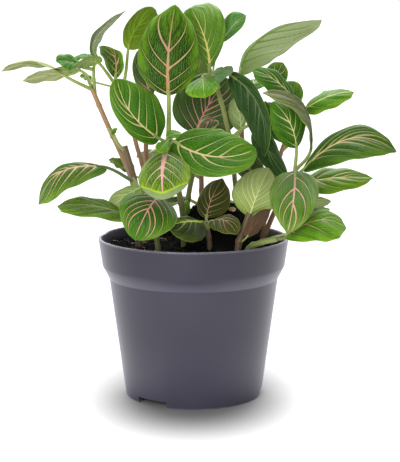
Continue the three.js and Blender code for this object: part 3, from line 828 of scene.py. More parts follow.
# %% Front, top and middle stems
new_stem(
    "stem_front", 2, "olive",
    [(-6, -10, 98), (-7, -14, 119), (-10, -18, 136), (-14, -24, 153), (-15, -28, 165)],
)
leaf(
    (-15, -20, 190), (-15, -27, 215), (-11, -14, 245), (-34, -20, 212), (4, -20, 217), 0.47,
    "dark", start=(-15, -28, 163), full=0.95, lean=0.5, curl=0.2, veins=0.85, thick=1.35,
)
leaf(
    (-20, -30, 165), (-37, -44, 182), (-45, -40, 202), (-40.5, -46, 172), (-22, -34, 190), 0.42,
    "cream", start=(-15, -27, 162), full=0.8, cusp=0.1, lean=0.7, curl=0.45, veins=0.85,
)
leaf(
    (-12, -32, 164), (12, -54, 157), (37, -50, 161), (15, -42, 172), (10, -62, 146), 0.45,
    "cream", start=(-15, -27, 162), full=0.9, cusp=0.1, lean=0.7, curl=0.4, veins=0.85,
)
leaf(
    (-16, -34, 159), (-18, -62, 149), (-17, -72, 134), (-1, -58, 148), (-32, -56, 146), 0.45,
    "curled", start=(-14, -25, 157), full=0.95, cusp=0.0, lean=0.45, fold=0.88,
)
leaf(
    (-15, -36, 165), (-18, -46, 162), (-21, -50, 159), (-15, -48, 159), (-21, -42, 164), 0.45,
    "fresh", start=(-15, -28, 163), small=True,
)
leaf(
    (-16, -32, 166), (-12, -30, 168), (-8, -26, 169), (-14, -26, 170), (-10, -34, 166), 0.45,
    "fresh", start=(-15, -28, 163), small=True,
)
new_stem(
    "stem_top", 1.7, "olive",
    [(30, 14, 98), (29, 13, 112), (26, 9, 135), (25, 6, 148), (22, 3, 165), (15, 2, 192), (11, 2, 203)],
)
leaf(
    (10, 4, 205), (7, -2, 224), (-2, 8, 243), (-6, 6, 220), (21, 6, 230), 0.6,
    "yellow", start=(11, 2, 200), full=0.9, sweep=0.55, thick=1.3,
)
leaf(
    (17, 18, 221), (26, 15, 233), (33, 18, 238), (23, 18, 240), (29, 18, 229), 0.5,
    "cool", start=(12, 3, 199), via=[(13, 12, 209)], small=True,
)
leaf(
    (12, -4, 202), (18, -11, 204), (24, -8, 208), (19, -16, 200), (15, -6, 206), 0.34,
    "grey", start=(11, 2, 202), small=True, full=1.3, cusp=0.8,
)
leaf(
    (6, -2, 201), (6, -16, 196), (7, -22, 189), (16, -12, 197), (-5, -10, 194), 0.4,
    "young", start=(11, 2, 201),
)
leaf(
    (22, 2, 202), (40, -12, 183), (44, -4, 151), (44, -18, 185), (29, -4, 180), 0.42,
    "long", start=(12, 2, 199),
)
leaf(
    (41, 2, 172), (46, -4, 156), (60, 1, 135), (53, 2, 156), (39, -2, 152), 0.45,
    "long", start=(23, 4, 162), via=[(34, 4, 170)],
)
new_stem(
    "stem_middle", 1.8, "olive",
    [(-4, 5, 98), (-4, 5, 119), (0, 7, 141), (5, 9, 156), (8, 10, 165)],
)
leaf(
    (1, 11, 164), (9, 20, 181), (22, 29, 198), (-12, 17, 187), (29, 17, 175), 0.42,
    "rosy", start=(7, 9, 162), veins=1.3, lean=1.1, full=0.95,
)
leaf(
    (15, -2, 173), (9, -12, 174), (3, -20, 168), (7, -18, 168), (11, -6, 178), 0.5,
    "rosy", start=(8, 9, 163), via=[(14, 5, 170)], small=True,
)
leaf(
    (30, 10, 166), (29, 12, 177), (28, 16, 188), (33, 10, 178), (22, 10, 176), 0.5,
    "rosy", start=(3, 8, 150), via=[(16, 13, 154)], small=True,
)
leaf(
    (-5, -4, 114), (-5, -5, 119), (-4, -1, 124), (-8, -4, 120), (-2, -4, 119), 0.5,
    "fresh", start=(-4, 5, 115.5), small=True,
)
print(tally())

# %% [markdown]
# ## Stems at the left
# Two thin stems lean out to the left. Their leaves are narrow, and most of them are seen on edge.

# %% Stems at the left
new_stem(
    "stem_far_left", 1.8, "tan",
    [(-33, 3, 98), (-39, 3, 136), (-47, 3, 156), (-52, 2, 167), (-58, 2, 181), (-63, 2, 193)],
    [(-61, 2, 188), (-62, 3, 203), (-61, 2, 212)],
)
leaf(
    (-81, 0, 202), (-99, 6, 209), (-121, 14, 203), (-97, -4, 210), (-100, 14, 206), 0.45,
    "faded", start=(-62, 2, 192),
)
leaf(
    (-71, 10, 204), (-88, 4, 202), (-106, 0, 198), (-87, -4, 206), (-91, 12, 197), 0.5,
    "faded", start=(-63, 3, 194),
)
leaf(
    (-71, 5, 207), (-78, 4, 210), (-85, 0, 210), (-78, -2, 205), (-77, 9, 214), 0.5,
    "leafy", start=(-62, 2, 205),
)
leaf(
    (-63, 5, 212), (-69, 12, 213), (-77, 16, 211), (-68, 6, 211), (-70, 18, 214), 0.5,
    "leafy", start=(-62, 2, 208), small=True,
)
leaf(
    (-60, 2, 213), (-60, 6, 225), (-42, 12, 241), (-54, 0, 228), (-65, 0, 222), 0.38,
    "silvery", start=(-61, 2, 209),
)
new_stem(
    "stem_left_back", 1.6, "red",
    [(-28, 15, 98), (-28, 15, 112), (-32, 14, 142), (-36, 14, 156), (-41, 13, 176), (-48, 12, 194)],
)
leaf(
    (-41, 14, 217), (-36, 20, 230), (-24, 24, 241.5), (-26, 24, 225), (-44, 18, 230.5), 0.56,
    "light", start=(-46, 12, 188), via=[(-43, 13, 200)], full=0.85, cusp=0.1,
)
leaf(
    (-58, -4, 209), (-65, -10, 211), (-73, -15, 208), (-64, -18, 214), (-65, -2, 206), 0.45,
    "dark", start=(-47, 12, 192),
)
leaf(
    (-49, 10, 199), (-49, 6, 213), (-56, -3, 220), (-57, 14, 211), (-44, 2, 214), 0.5,
    "dark", start=(-48, 12, 193),
)
leaf(
    (-65, 19, 197), (-68, 19, 199), (-72, 18, 200), (-69, 16, 198), (-66, 22, 201), 0.5,
    "fresh", start=(-48, 12, 193), small=True,
)
print(tally())

# %% [markdown]
# ## Stems at the right
# Two stems lean out to the right. The lower one carries the longest leaves, which arch far out past the
# rim.

# %% Stems at the right
new_stem(
    "stem_upper_right", 1.6, "red",
    [(44, 10, 98), (46, 10, 116), (50, 10, 132), (55, 9, 152), (61, 5, 170), (64, 3, 181)],
)
leaf(
    (49, 8, 192), (52, 10, 201), (56, 12, 209), (45, 12, 204), (59, 10, 200), 0.5,
    "striped", start=(62, 4, 176), via=[(54, 7, 184)],
)
leaf(
    (64, 12, 182), (62, 14, 190), (59, 16, 197), (56, 14, 188), (69, 14, 191), 0.5,
    "yellow", start=(64, 3, 178), small=True,
)
leaf(
    (63, 0, 186), (50, -7, 199), (36, -6, 205), (45, -14, 193), (53, 0, 203), 0.45,
    "deep", start=(64, 3, 178),
)
leaf(
    (60, 10, 159), (49, 9, 171), (45, 13, 185), (43, 12, 171), (57, 15, 175), 0.42,
    "cream", start=(56, 9, 154),
)
leaf(
    (69, 3, 180), (84, -2, 189), (100, 4, 191), (85, 10, 192), (83, -8, 181), 0.42,
    "young", start=(63, 3, 177), veins=0.55,
)
new_stem(
    "stem_right", 1.8, "red",
    [(43, -3, 98), (46, -5, 106), (51, -10, 119), (59, -16, 135), (63, -18, 146)],
)
leaf(
    (63, -18, 158), (58, -27, 175), (48, -20, 187), (48, -22, 170), (68, -20, 177), 0.45,
    "deep", start=(62, -18, 143), full=0.9, cusp=0.1, lean=0.8, curl=0.3,
)
leaf(
    (72, -10, 155), (66, -24, 183), (41, -34, 193), (61, -34, 182), (69, -14, 182), 0.5,
    "dull", start=(63, -18, 145),
)
leaf(
    (67, -14, 144), (95, -26, 165), (123, -28, 157), (97, -16, 172), (95, -38, 153), 0.5,
    "satin", start=(62, -17, 141), lean=1.2, curl=0.3,
)
leaf(
    (69, -4, 135), (90, -8, 139), (112, -4, 138), (92, 2, 144), (88, -17, 131), 0.36,
    "gold", start=(59, -16, 134), lean=0.85, veins=0.75,
)
leaf(
    (62, -22, 145), (59, -54, 130), (55, -62, 112), (73, -50, 132), (46, -50, 129), 0.3,
    "sage", start=(61, -17, 140), lean=0.7, curl=0.45, veins=0.65,
)
leaf(
    (68, 12, 117), (77, 8, 121), (87, 6, 122), (78, 12, 116), (78, 4, 125), 0.5,
    "cream", start=(50, -8, 116), via=[(60, 3, 118)], small=True,
)
print(tally())

# %% [markdown]
# ## Low stems
# Four short stems fill the plant near the soil. One leaf shows its pale underside, and some hang over the
# rim.

# %% Low stems
new_stem(
    "stem_low_right", 2.2, "wood",
    [(27, -34, 98), (28, -34, 104), (31, -33, 112), (34, -32, 120)],
)
leaf(
    (34, -30, 117), (38, -35, 131), (46, -25, 147), (50, -27, 125), (22, -30, 130), 0.46,
    "pale", start=(32, -33, 113), full=0.8, cusp=0.1, veins=1.5, lean=0.9,
)
leaf(
    (32, -37, 106), (38, -35, 114), (47, -30, 122), (42, -33, 112), (35, -36, 118), 0.5,
    "brown", start=(28, -34, 102), small=True,
)
leaf(
    (42, -24, 138), (33, -22, 147), (26, -16, 155), (27, -20, 143), (41, -18, 151), 0.5,
    "rosy", start=(32, -32, 115), via=[(40, -24, 124)],
)
new_stem(
    "stem_low_front_right", 2.1, "sheath",
    [(33, -35, 98), (40, -39, 103), (50, -42, 106)],
)
leaf(
    (55, -43, 107), (74, -52, 119), (91, -50, 114), (83, -42, 125), (72, -64, 108), 0.58,
    "bright", start=(49.5, -42, 105.9), veins=0.65, bark="sheath",
)
leaf(
    (60, -24, 108), (71, -23, 117), (84, -20, 121), (70, -15, 119), (73, -29, 115), 0.5,
    "dark", start=(38, -38, 102), via=[(48, -31, 105)], small=True,
)
# Painted shade in part: this stem is woody and also stands in shade, so it takes the darkest bark.
new_stem(
    "stem_low_centre", 1.8, "wood",
    [(10, -20, 98), (9, -20, 106), (8, -20, 113)],
)
leaf(
    (8, -18, 115), (11, -13, 126), (18, -4, 138), (4, -8, 129), (24, -10, 126), 0.5,
    "dusky", start=(8, -20, 110), veins=1.25, lean=0.7,
)
leaf(
    (10, -22, 113), (19, -34, 116), (26, -44, 109), (22, -27, 119), (15, -40, 110), 0.5,
    "dusky", start=(9, -20, 109),
)
leaf(
    (6, -24, 113), (-4, -44, 117), (-16, -52, 115), (-3, -56, 106), (-2, -34, 119), 0.5,
    "rimmed", start=(9, -20, 108),
)
new_stem(
    "stem_low_left", 1.8, "olive",
    [(-22, -22, 98), (-25, -21, 112), (-31, -17, 128), (-38, -12, 139)],
)
leaf(
    (-53, -16, 146), (-80, -28, 145), (-95, -22, 124), (-74, -38, 136), (-84, -18, 146), 0.5,
    "striped", start=(-37, -13, 137), veins=1.3, lean=0.6, bark="green",
)
leaf(
    (-36, -30, 117), (-60, -40, 126), (-82, -36, 125), (-59, -50, 120), (-64, -30, 130), 0.5,
    "plain", start=(-26, -21, 114),
)
leaf(
    (-31, -22, 135), (-41, -30, 131), (-52, -30, 126), (-43, -28, 135), (-38, -32, 125), 0.52,
    "cream", start=(-31, -17, 128),
)
leaf(
    (-20, -44, 132), (-26, -70, 128), (-34, -74, 111), (-10, -70, 120), (-42, -64, 133), 0.46,
    "vivid", start=(-25, -21, 113), via=[(-23, -34, 127)], full=1.0, cusp=0.0, lean=0.75, curl=0.45,
    veins=1.2,
)
print(tally())

# %% [markdown]
# ## The cut stem and the stems at the back
# One stem was cut back and has a young side shoot. Three full stems stand behind, where the photograph
# shows little, so that the plant is as leafy from behind as from in front.

# %% Cut stem and stems at the back
new_stem(
    "stem_pruned", 2.4, "wood",
    [(-34, -6, 98), (-34, -5, 118), (-36, -4, 132), (-43, -3, 158)],
    [(-42, -3, 154), (-47, -6, 160), (-50, -7, 166), (-53, -8, 169)],
)
leaf(
    (-50, -7, 165), (-49, -10, 168), (-48, -12, 170), (-51, -11, 168), (-47, -9, 169), 0.5,
    "fresh", small=True,
)
new_stem(
    "stem_back_left", 1.8, "red",
    [(-24, 36, 98), (-28, 35, 130), (-31, 34, 152), (-27, 26, 185)],
)
leaf(
    (-27, 23, 188), (-32, 29, 202), (-33, 37, 218), (-39, 27, 202), (-24, 27, 205), 0.45,
    "rosy", start=(-27, 26, 183),
)
leaf(
    (-42, 25, 138), (-48, 27, 143), (-55, 28, 146), (-50, 23, 142), (-46, 31, 146), 0.45,
    "plain", start=(-28, 35, 130), small=True,
)
leaf(
    (-30, 32, 176), (-38, 48, 182), (-41, 66, 172), (-50, 48, 178), (-26, 46, 179), 0.45,
    "dark", start=(-28, 29, 174),
)
leaf(
    (-27, 38, 150), (-27, 54, 149), (-29, 70, 138), (-38, 52, 145), (-16, 52, 146), 0.45,
    "striped", start=(-31, 34, 148),
)
leaf(
    (-26, 30, 192), (-27, 46, 206), (-27, 58, 219), (-37, 46, 204), (-16, 46, 205), 0.45,
    "cream", start=(-27, 26, 184),
)
new_stem(
    "stem_back_centre", 1.8, "red",
    [(4, 36, 98), (5, 39, 118), (4, 42, 150), (2, 44, 178)],
)
leaf(
    (1, 45, 184), (-2, 53, 205), (-4, 52, 227), (10, 50, 205), (-13, 50, 205), 0.45,
    "dark", start=(2, 44, 176),
)
leaf(
    (4, 49, 176), (8, 66, 178), (11, 75, 162), (-5, 64, 174), (21, 64, 173), 0.42,
    "cream", start=(3, 44, 172),
)
leaf(
    (-3, 44, 136), (-13, 60, 137), (-22, 71, 126), (-21, 51, 134), (-6, 69, 134), 0.45,
    "striped", start=(5, 41, 132),
)
leaf(
    (9, 46, 173), (22, 56, 181), (36, 62, 173), (16, 65, 179), (28, 46, 179), 0.45,
    "dark", start=(3, 43, 168),
)
leaf(
    (8, 43, 117), (18, 60, 116), (22, 75, 106), (7, 66, 111), (30, 56, 113), 0.45,
    "cream", start=(5, 38, 112),
)
leaf(
    (-3, 42, 118), (-16, 60, 117), (-22, 75, 107), (-27, 54, 113), (-4, 66, 113), 0.45,
    "rosy", start=(5, 39, 114),
)
new_stem(
    "stem_back_right", 1.8, "red",
    [(34, 32, 98), (34, 31, 120), (31, 28, 160), (29, 21, 197)],
)
leaf(
    (29, 18, 200), (45, 26, 224), (81, 24, 235), (57, 14, 215), (40, 34, 223), 0.47,
    "silver", start=(29, 22, 193), lean=1.2, full=0.9, cusp=0.0,
)
leaf(
    (34, 34, 176), (49, 48, 181), (62, 60, 168), (38, 58, 178), (59, 38, 178), 0.45,
    "dark", start=(30, 26, 170),
)
leaf(
    (35, 38, 150), (41, 54, 151), (43, 70, 139), (31, 56, 147), (51, 50, 147), 0.45,
    "striped", start=(32, 29, 144),
)
leaf(
    (33, 28, 190), (45, 40, 197), (57, 50, 191), (37, 48, 195), (53, 32, 195), 0.45,
    "cream", start=(29, 23, 185),
)
leaf(
    (42, 36, 122), (58, 46, 124), (72, 54, 114), (52, 57, 121), (65, 36, 121), 0.45,
    "rosy", start=(34, 31, 116),
)
print(tally())

# %% [markdown]
# ## Finish of stems and stalks
# The older stems are reddish brown and the young ones olive green, and the stalks of the pink-veined leaves
# are paler than the others. All have fine lengthwise streaks. Each tube carries a colour for its foot and
# one for its top, and the material blends them on the way.

# %% Stem material
BARKS = {
    "red": ("5c3c2c", "a87c58"),
    "tan": ("6a4630", "a07e54"),
    "olive": ("5a5430", "848c42"),
    "wood": ("44341f", "665032"),
    "sheath": ("505a2c", "76843e"),
    "green": ("46582a", "56702f"),
    "stalk": ("7f9040", "93a850"),
    "pale": ("9c9c5c", "b4b070"),
}
STREAK = colour("3a2c1c")
STREAK_SQUEEZE = (9.0, 9.0, 1.0)
STREAK_SHARE = 0.45
SPOT = colour("b0a070")
SPOT_SHARE = 0.25


def stem_material():
    finish, tree, shader = material("stem")
    along = attribute(tree, "along", "Fac")
    place = object_place(tree)
    streaks = cloud(tree, place * vector_of(tree, *STREAK_SQUEEZE), scale=160, detail=4.0, rough=0.6)
    spots = cloud(tree, place, scale=900, detail=2.0)
    base = blend_colours(along, attribute(tree, "tone_foot"), attribute(tree, "tone_top"))
    darker = blend_colours(step(streaks, 0.45, 0.75) * STREAK_SHARE, base, STREAK)
    lighter = blend_colours(step(spots, 0.6, 0.8) * SPOT_SHARE, darker, SPOT)
    feed(tree, shader.inputs["Base Color"], lighter)
    feed(tree, shader.inputs["Roughness"], spots * 0.2 + 0.45)
    feed(tree, shader.inputs["Normal"], bump(tree, streaks + spots * 0.4, 0.2 * MM, 0.5))
    shader.inputs["Sheen Weight"].default_value = 0.15
    return finish


STEM = stem_material()
print("stem material has", len(STEM.node_tree.nodes), "nodes")

# %% [markdown]
# ## Stems and stalks that follow a path
# A stem is a tube along a smooth curve that gets thinner on its way up, and thicker at each joint, where
# leaves have grown. A fine down of hairs stands on it. The tree resamples the curve, works out its radius
# from the length walked, skins it, and scatters the hairs over the skin.

# %% Tube tree
TUBE_STEP = 1.0
TUBE_SIDES = 14
JOINT_SPREAD = 1.7
JOINT_SWELL = 0.24
HAIR_LENGTH = 0.7
HAIR_RADIUS = 0.03
HAIR_TIP = 0.2

TUBE_INPUTS = {
    "Foot radius": "Float",
    "Top radius": "Float",
    "Joint gap": "Float",
    "Hairs": "Float",
    "Seed": "Int",
    "Foot tone": "Color",
    "Top tone": "Color",
    "Finish": "Material",
}


def tube_tree():
    tree, given = geometry_tree("stem tube", TUBE_INPUTS)
    evenly = {"Curve": given["Geometry"], "Length": TUBE_STEP * MM}
    line = node_of(tree, "GeometryNodeResampleCurve", {"mode": "LENGTH"}, **evenly)
    walked = tree.nodes.new("GeometryNodeSplineParameter")
    along = out(walked, "Factor")
    gap = given["Joint gap"]
    from_joint = abs((out(walked, "Length") / gap).work("FRACT") - 0.5) * gap
    swelling = step(from_joint, JOINT_SPREAD * MM, 0.0) * JOINT_SWELL + 1
    foot = given["Foot radius"]
    radius = (foot + (given["Top radius"] - foot) * along) * swelling
    marked = stored(tree, out(line), "along", "FLOAT", along)
    ring = node_of(tree, "GeometryNodeCurvePrimitiveCircle", Resolution=TUBE_SIDES, Radius=1.0)
    skin = node_of(
        tree,
        "GeometryNodeCurveToMesh",
        Curve=marked,
        Profile_Curve=out(ring),
        Scale=radius,
        Fill_Caps=True,
    )

    spread = node_of(
        tree,
        "GeometryNodeDistributePointsOnFaces",
        Mesh=out(skin),
        Density=given["Hairs"],
        Seed=given["Seed"],
    )
    hair = node_of(
        tree,
        "GeometryNodeMeshCone",
        Vertices=3,
        Side_Segments=1,
        Fill_Segments=1,
        Radius_Top=HAIR_RADIUS * MM * HAIR_TIP,
        Radius_Bottom=HAIR_RADIUS * MM,
        Depth=HAIR_LENGTH * MM,
    )
    hairs = node_of(
        tree,
        "GeometryNodeInstanceOnPoints",
        Points=out(spread, "Points"),
        Instance=out(hair),
        Rotation=out(spread, "Rotation"),
    )
    both = tree.nodes.new("GeometryNodeJoinGeometry")
    tree.links.new(skin.outputs[0], both.inputs[0])
    tree.links.new(hairs.outputs[0], both.inputs[0])
    real = node_of(tree, "GeometryNodeRealizeInstances", Geometry=out(both))
    toned = stored(tree, out(real), "tone_foot", "FLOAT_COLOR", given["Foot tone"])
    toned = stored(tree, toned, "tone_top", "FLOAT_COLOR", given["Top tone"])
    ends_with(tree, toned, given["Finish"])
    return tree


TUBE_TREE = tube_tree()
print("tube tree has", len(TUBE_TREE.nodes), "nodes")


# %% Paths and tubes
PATH_SMOOTHNESS = 12


def path_curve(name, points):
    """A smooth curve through points given in millimetres."""
    curve = bpy.data.curves.new(name, "CURVE")
    curve.dimensions = "3D"
    curve.resolution_u = PATH_SMOOTHNESS
    spline = curve.splines.new("BEZIER")
    spline.bezier_points.add(len(points) - 1)
    for knot, point in zip(spline.bezier_points, points):
        knot.co = Vector(point) * MM
        knot.handle_left_type = "AUTO"
        knot.handle_right_type = "AUTO"
    return curve


def tube(name, points, foot_radius, top_radius, bark, joint_gap, hairs, seed):
    foot_tone, top_tone = BARKS[bark]
    settings = {
        "Foot radius": foot_radius * MM,
        "Top radius": top_radius * MM,
        "Joint gap": joint_gap * MM,
        "Hairs": hairs,
        "Seed": seed,
        "Foot tone": colour(foot_tone),
        "Top tone": colour(top_tone),
        "Finish": STEM,
    }
    return grown(TUBE_TREE, path_curve(name, points), settings)


print(len(BARKS), "colours of bark and stalk")


# %% Blades and stalks
BIG_GRID = (65, 37)
SMALL_GRID = (29, 17)
SMALL_LEAF = 22.0
MOST_VEINS = 7.4
SHORT_LEAF_SHARE = 0.55
SHARE_GROWS_OVER = 110
VEINS_VARY = (0.92, 1.08)
TONES_VARY = (0.9, 1.1)
STALK_RADIUS = 1.1
SMALL_STALK_RADIUS = 0.7
STALK_FOOT = 1.1
STALK_TOP = 0.75
STALK_REACH = 0.1
STEM_HAIRS = 0.12 / MM**2
STALK_HAIRS = STEM_HAIRS * 0.6
NO_JOINTS = 900.0


def rib_shape(one):
    """A leaf's base, the knee and tip of its midrib and its direction across, its two arms, and its length.

    All are in metres, apart from the length, which is in millimetres.
    """
    base, mid, tip, left, right = (Vector(point) * MM for point in one[:5])
    knee = mid * 2 - (base + tip) / 2
    along = (tip - base).normalized()
    span = right - left
    across = (span - along * span.dot(along)).normalized()
    up = across.cross(along)
    arms = [((edge - mid).dot(across), (edge - mid).dot(up), 0.0) for edge in (left, right)]
    length = ((mid - base).length + (tip - mid).length) / MM
    return base, knee, tip, across, arms, length


def blade(name, one):
    """The blade of a leaf. Its own number and shades are drawn in the order in which they stand here."""
    base, knee, tip, across, arms, length = rib_shape(one)
    rows, columns = SMALL_GRID if length < SMALL_LEAF else BIG_GRID
    look = LOOKS[one.look]
    veins = MOST_VEINS * one.veins * min(1.0, SHORT_LEAF_SHARE + length / SHARE_GROWS_OVER)
    settings = {
        "Base": tuple(base),
        "Knee": tuple(knee),
        "Tip": tuple(tip),
        "Across": tuple(across),
        "Left arm": arms[0],
        "Right arm": arms[1],
        "Widest": one.widest,
        "Fullness": one.full,
        "Sweep": one.sweep,
        "Cusp": one.cusp,
        "Lean": one.lean,
        "Curl": one.curl,
        "Fold": one.fold,
        "Rows": rows,
        "Columns": columns,
        "Length": length,
        "Veins": veins * random.uniform(*VEINS_VARY),
        "Number": random.random(),
        "Bold": look.bold,
        "Strong": look.strong,
        "Blade tone": colour(look.blade, random.uniform(*TONES_VARY)),
        "Edge tone": colour(look.edge, random.uniform(*TONES_VARY)),
        "Rib tone": colour(look.rib),
        "Side tone": colour(look.side),
        "Under tone": colour(look.under, random.uniform(*TONES_VARY)),
        "Finish": LEAF,
    }
    return grown(BLADE_TREE, bpy.data.meshes.new(name), settings)


def stalk(name, one, seed):
    """The stalk of a leaf, from its stem to a little way along its midrib."""
    base, knee, tip = rib_shape(one)[:3]
    share = STALK_REACH
    end = base * (1 - share) ** 2 + knee * 2 * share * (1 - share) + tip * share**2
    path = [one.base, tuple(end / MM)]
    if one.start:
        path = [one.start, *one.via, *path]
    radius = (SMALL_STALK_RADIUS if one.small else STALK_RADIUS) * one.thick
    return tube(name, path, radius * STALK_FOOT, radius * STALK_TOP, one.bark, NO_JOINTS, STALK_HAIRS, seed)


print("the grid of a big blade has", BIG_GRID[0], "by", BIG_GRID[1], "points")

# %% [markdown]
# ## Growing every stem
# A stem node becomes one piece: its main stem, its side shoots, its stalks and its blades, joined. It
# stands for the plain solid of that name, which is then hidden.

# %% Leafy stems
ROOT_Z = 72
STEM_TAPER = 0.82
JOINT_GAP = 21.0
FIRST_STEM_SEED = 1
FIRST_STALK_SEED = 10
random.seed(7)


def leafy_stem(stem):
    main, *shoots = stem.paths
    x, y, _ = main[0]
    stretches = [([(x, y, ROOT_Z), *main], stem.radius, stem.bark)]
    stretches += [(shoot, STALK_RADIUS, "stalk") for shoot in shoots]
    parts = []
    for seed, (points, radius, bark) in enumerate(stretches, FIRST_STEM_SEED):
        parts.append(tube("stem", points, radius, radius * STEM_TAPER, bark, JOINT_GAP, STEM_HAIRS, seed))
    for seed, one in enumerate(stem.leaves, FIRST_STALK_SEED):
        parts.append(stalk("stalk", one, seed))
        parts.append(blade("blade", one))
    piece = joined(stem.name.replace("stem", "leafy_stem"), parts)
    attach(piece, "root")
    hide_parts(stem.name)
    return piece


for stem in STEMS:
    print(count(leafy_stem(stem)))

# %% [markdown]
# ## The pot
# A nursery pot is blown or moulded from thin plastic: a tapered body, a sloping step, a deep rim band and a
# thin lip. Turning one outline about the pot's axis makes all of it. The corners of the outline are rounded
# with small arcs first, because light catches on them. Three notches in the standing ring and the drain
# holes in the floor are then cut out.

# %% Pot outline
POT_HEIGHT = 100.6
RIM_RADIUS = 60
BAND_FOOT_RADIUS = 57.4
BAND_FOOT_Z = 83
STEP_RADIUS = 53.2
STEP_Z = 75
FOOT_RADIUS = 43.2
WALL = 1.8
FLOOR_Z = 4.2
FLOOR_THICK = 2
RING_WIDTH = 3.6
INNER_LIFT = 0.8
POT_SIDES = 192
ARC_POINTS = 6
LONGEST_CUT = 0.45


def arc(before, corner, after, radius):
    """The points of a rounded corner between two straight stretches."""
    one = (before - corner).normalized()
    two = (after - corner).normalized()
    half_angle = one.angle(two) / 2
    shorter = min(LONGEST_CUT * (before - corner).length, LONGEST_CUT * (after - corner).length)
    cut = min(radius / math.tan(half_angle), shorter)
    start = corner + one * cut
    end = corner + two * cut
    points = []
    for k in range(ARC_POINTS + 1):
        t = k / ARC_POINTS
        points.append(start * (1 - t) ** 2 + corner * 2 * t * (1 - t) + end * t**2)
    return points


inner_foot = FOOT_RADIUS + (FLOOR_Z + FLOOR_THICK) * (STEP_RADIUS - FOOT_RADIUS) / STEP_Z - WALL
POT_CORNERS = [
    (0, FLOOR_Z, 0),
    (FOOT_RADIUS - RING_WIDTH, FLOOR_Z, 0.8),
    (FOOT_RADIUS - RING_WIDTH, 0, 0.5),
    (FOOT_RADIUS, 0, 0.6),
    (STEP_RADIUS, STEP_Z, 2.5),
    (BAND_FOOT_RADIUS, BAND_FOOT_Z, 6.0),
    (RIM_RADIUS, POT_HEIGHT, 0.75),
    (RIM_RADIUS - WALL, POT_HEIGHT, 0.75),
    (BAND_FOOT_RADIUS - WALL, BAND_FOOT_Z + INNER_LIFT, 3.0),
    (STEP_RADIUS - WALL, STEP_Z + INNER_LIFT, 3.0),
    (inner_foot, FLOOR_Z + FLOOR_THICK, 1.5),
    (0, FLOOR_Z + FLOOR_THICK, 0),
]


def rounded(corners):
    """An outline of corners with a radius each, as points with arcs."""
    spots = [Vector((r, z)) for r, z, _ in corners]
    outline = [spots[0]]
    for before, here, after, (_, _, radius) in zip(spots, spots[1:], spots[2:], corners[1:]):
        outline.extend(arc(before, here, after, radius))
    outline.append(spots[-1])
    return outline


pot_outline = rounded(POT_CORNERS)
print("the pot's outline has", len(pot_outline), "points")


# %% Turn and cut the pot
NOTCH_SIZE = (22, 16, 8)
NOTCH_TURNS = (-37, 83, 203)
DRAIN_RADIUS = 4.5
DRAIN_CIRCLE = 28
DRAIN_COUNT = 6
DRAIN_SIDES = 32
DRAIN_CUT_DEPTH = 4 * FLOOR_THICK


def turned(name, outline, sides):
    """An outline of (radius, height) points in millimetres turned about the vertical axis.

    The points and faces come in a fixed order, so what is scattered over them falls the same way each time.
    """
    points = []
    rings = []
    for r, z in outline:
        around = sides if r > 0 else 1
        rings.append([len(points) + k for k in range(around)])
        for k in range(around):
            turn = 2 * math.pi * k / sides
            points.append((r * MM * math.cos(turn), r * MM * math.sin(turn), z * MM))
    faces = []
    for low, high in zip(rings, rings[1:]):
        for k in range(sides):
            after = (k + 1) % sides
            below = (low[k % len(low)], low[after % len(low)])
            above = (high[after % len(high)], high[k % len(high)])
            faces.append(tuple(dict.fromkeys(below + above)))
    mesh = bpy.data.meshes.new(name)
    mesh.from_pydata(points, [], faces)
    return placed(name, mesh)


def cutters():
    """The three notches and the drain holes as one object."""
    body = bmesh.new()
    for turn in NOTCH_TURNS:
        place = Matrix.Rotation(math.radians(turn), 4, "Z") @ Matrix.Translation((0, -FOOT_RADIUS * MM, 0))
        size = Matrix.Diagonal((*(side * MM for side in NOTCH_SIZE), 1))
        bmesh.ops.create_cube(body, size=1, matrix=place @ size)
    for k in range(DRAIN_COUNT):
        turn = Matrix.Rotation(2 * math.pi * (k + 0.5) / DRAIN_COUNT, 4, "Z")
        place = turn @ Matrix.Translation((DRAIN_CIRCLE * MM, 0, FLOOR_Z * MM))
        bmesh.ops.create_cone(
            body,
            cap_ends=True,
            segments=DRAIN_SIDES,
            radius1=DRAIN_RADIUS * MM,
            radius2=DRAIN_RADIUS * MM,
            depth=DRAIN_CUT_DEPTH * MM,
            matrix=place,
        )
    return object_of("cutters", body)


uncut = turned("nursery_pot", pot_outline, POT_SIDES)
cutter = cutters()
cut = uncut.modifiers.new("cut", "BOOLEAN")
cut.operation = "DIFFERENCE"
cut.object = cutter
cut.solver = "EXACT"
pot = made_plain(uncut)
bpy.data.objects.remove(cutter)
print(count(pot))

# %% [markdown]
# A pot that has been handled isn't a perfect turning. Its lip waves a little, and at the left it is pressed
# in and down a little. Moving the points of the lip by a slow wave, and by one dent, is enough.

# %% Bend the lip
LIP_WAVE = 0.25
LIP_REACH = 8
DENT_TURN = math.radians(168)
DENT_SPREAD = math.radians(7)
DENT_DEPTH = 0.9
DENT_INWARD = 0.5
DENT_DOWNWARD = 0.6
SHARP_FROM = math.radians(38)
ON_AXIS = 1e-6

for vertex in pot.data.vertices:
    x, y, z = vertex.co
    share = max(0.0, 1 - (POT_HEIGHT * MM - z) / (LIP_REACH * MM))
    turn = math.atan2(y, x)
    from_dent = (turn - DENT_TURN + math.pi) % (2 * math.pi) - math.pi
    dent = math.exp(-((from_dent / DENT_SPREAD) ** 2)) * DENT_DEPTH * share**2
    waves = 1 + math.sin(3 * turn + 1) * 0.5 + math.sin(5 * turn) * 0.5
    push = -share * LIP_WAVE * waves / 2 - dent * DENT_INWARD
    scale = 1 + push * MM / max(math.hypot(x, y), ON_AXIS)
    vertex.co = (x * scale, y * scale, z - dent * MM * DENT_DOWNWARD)
smooth(pot)
pot.data.set_sharp_from_angle(angle=SHARP_FROM)
print("the lip's dent is", DENT_DEPTH * DENT_DOWNWARD, "mm deep")
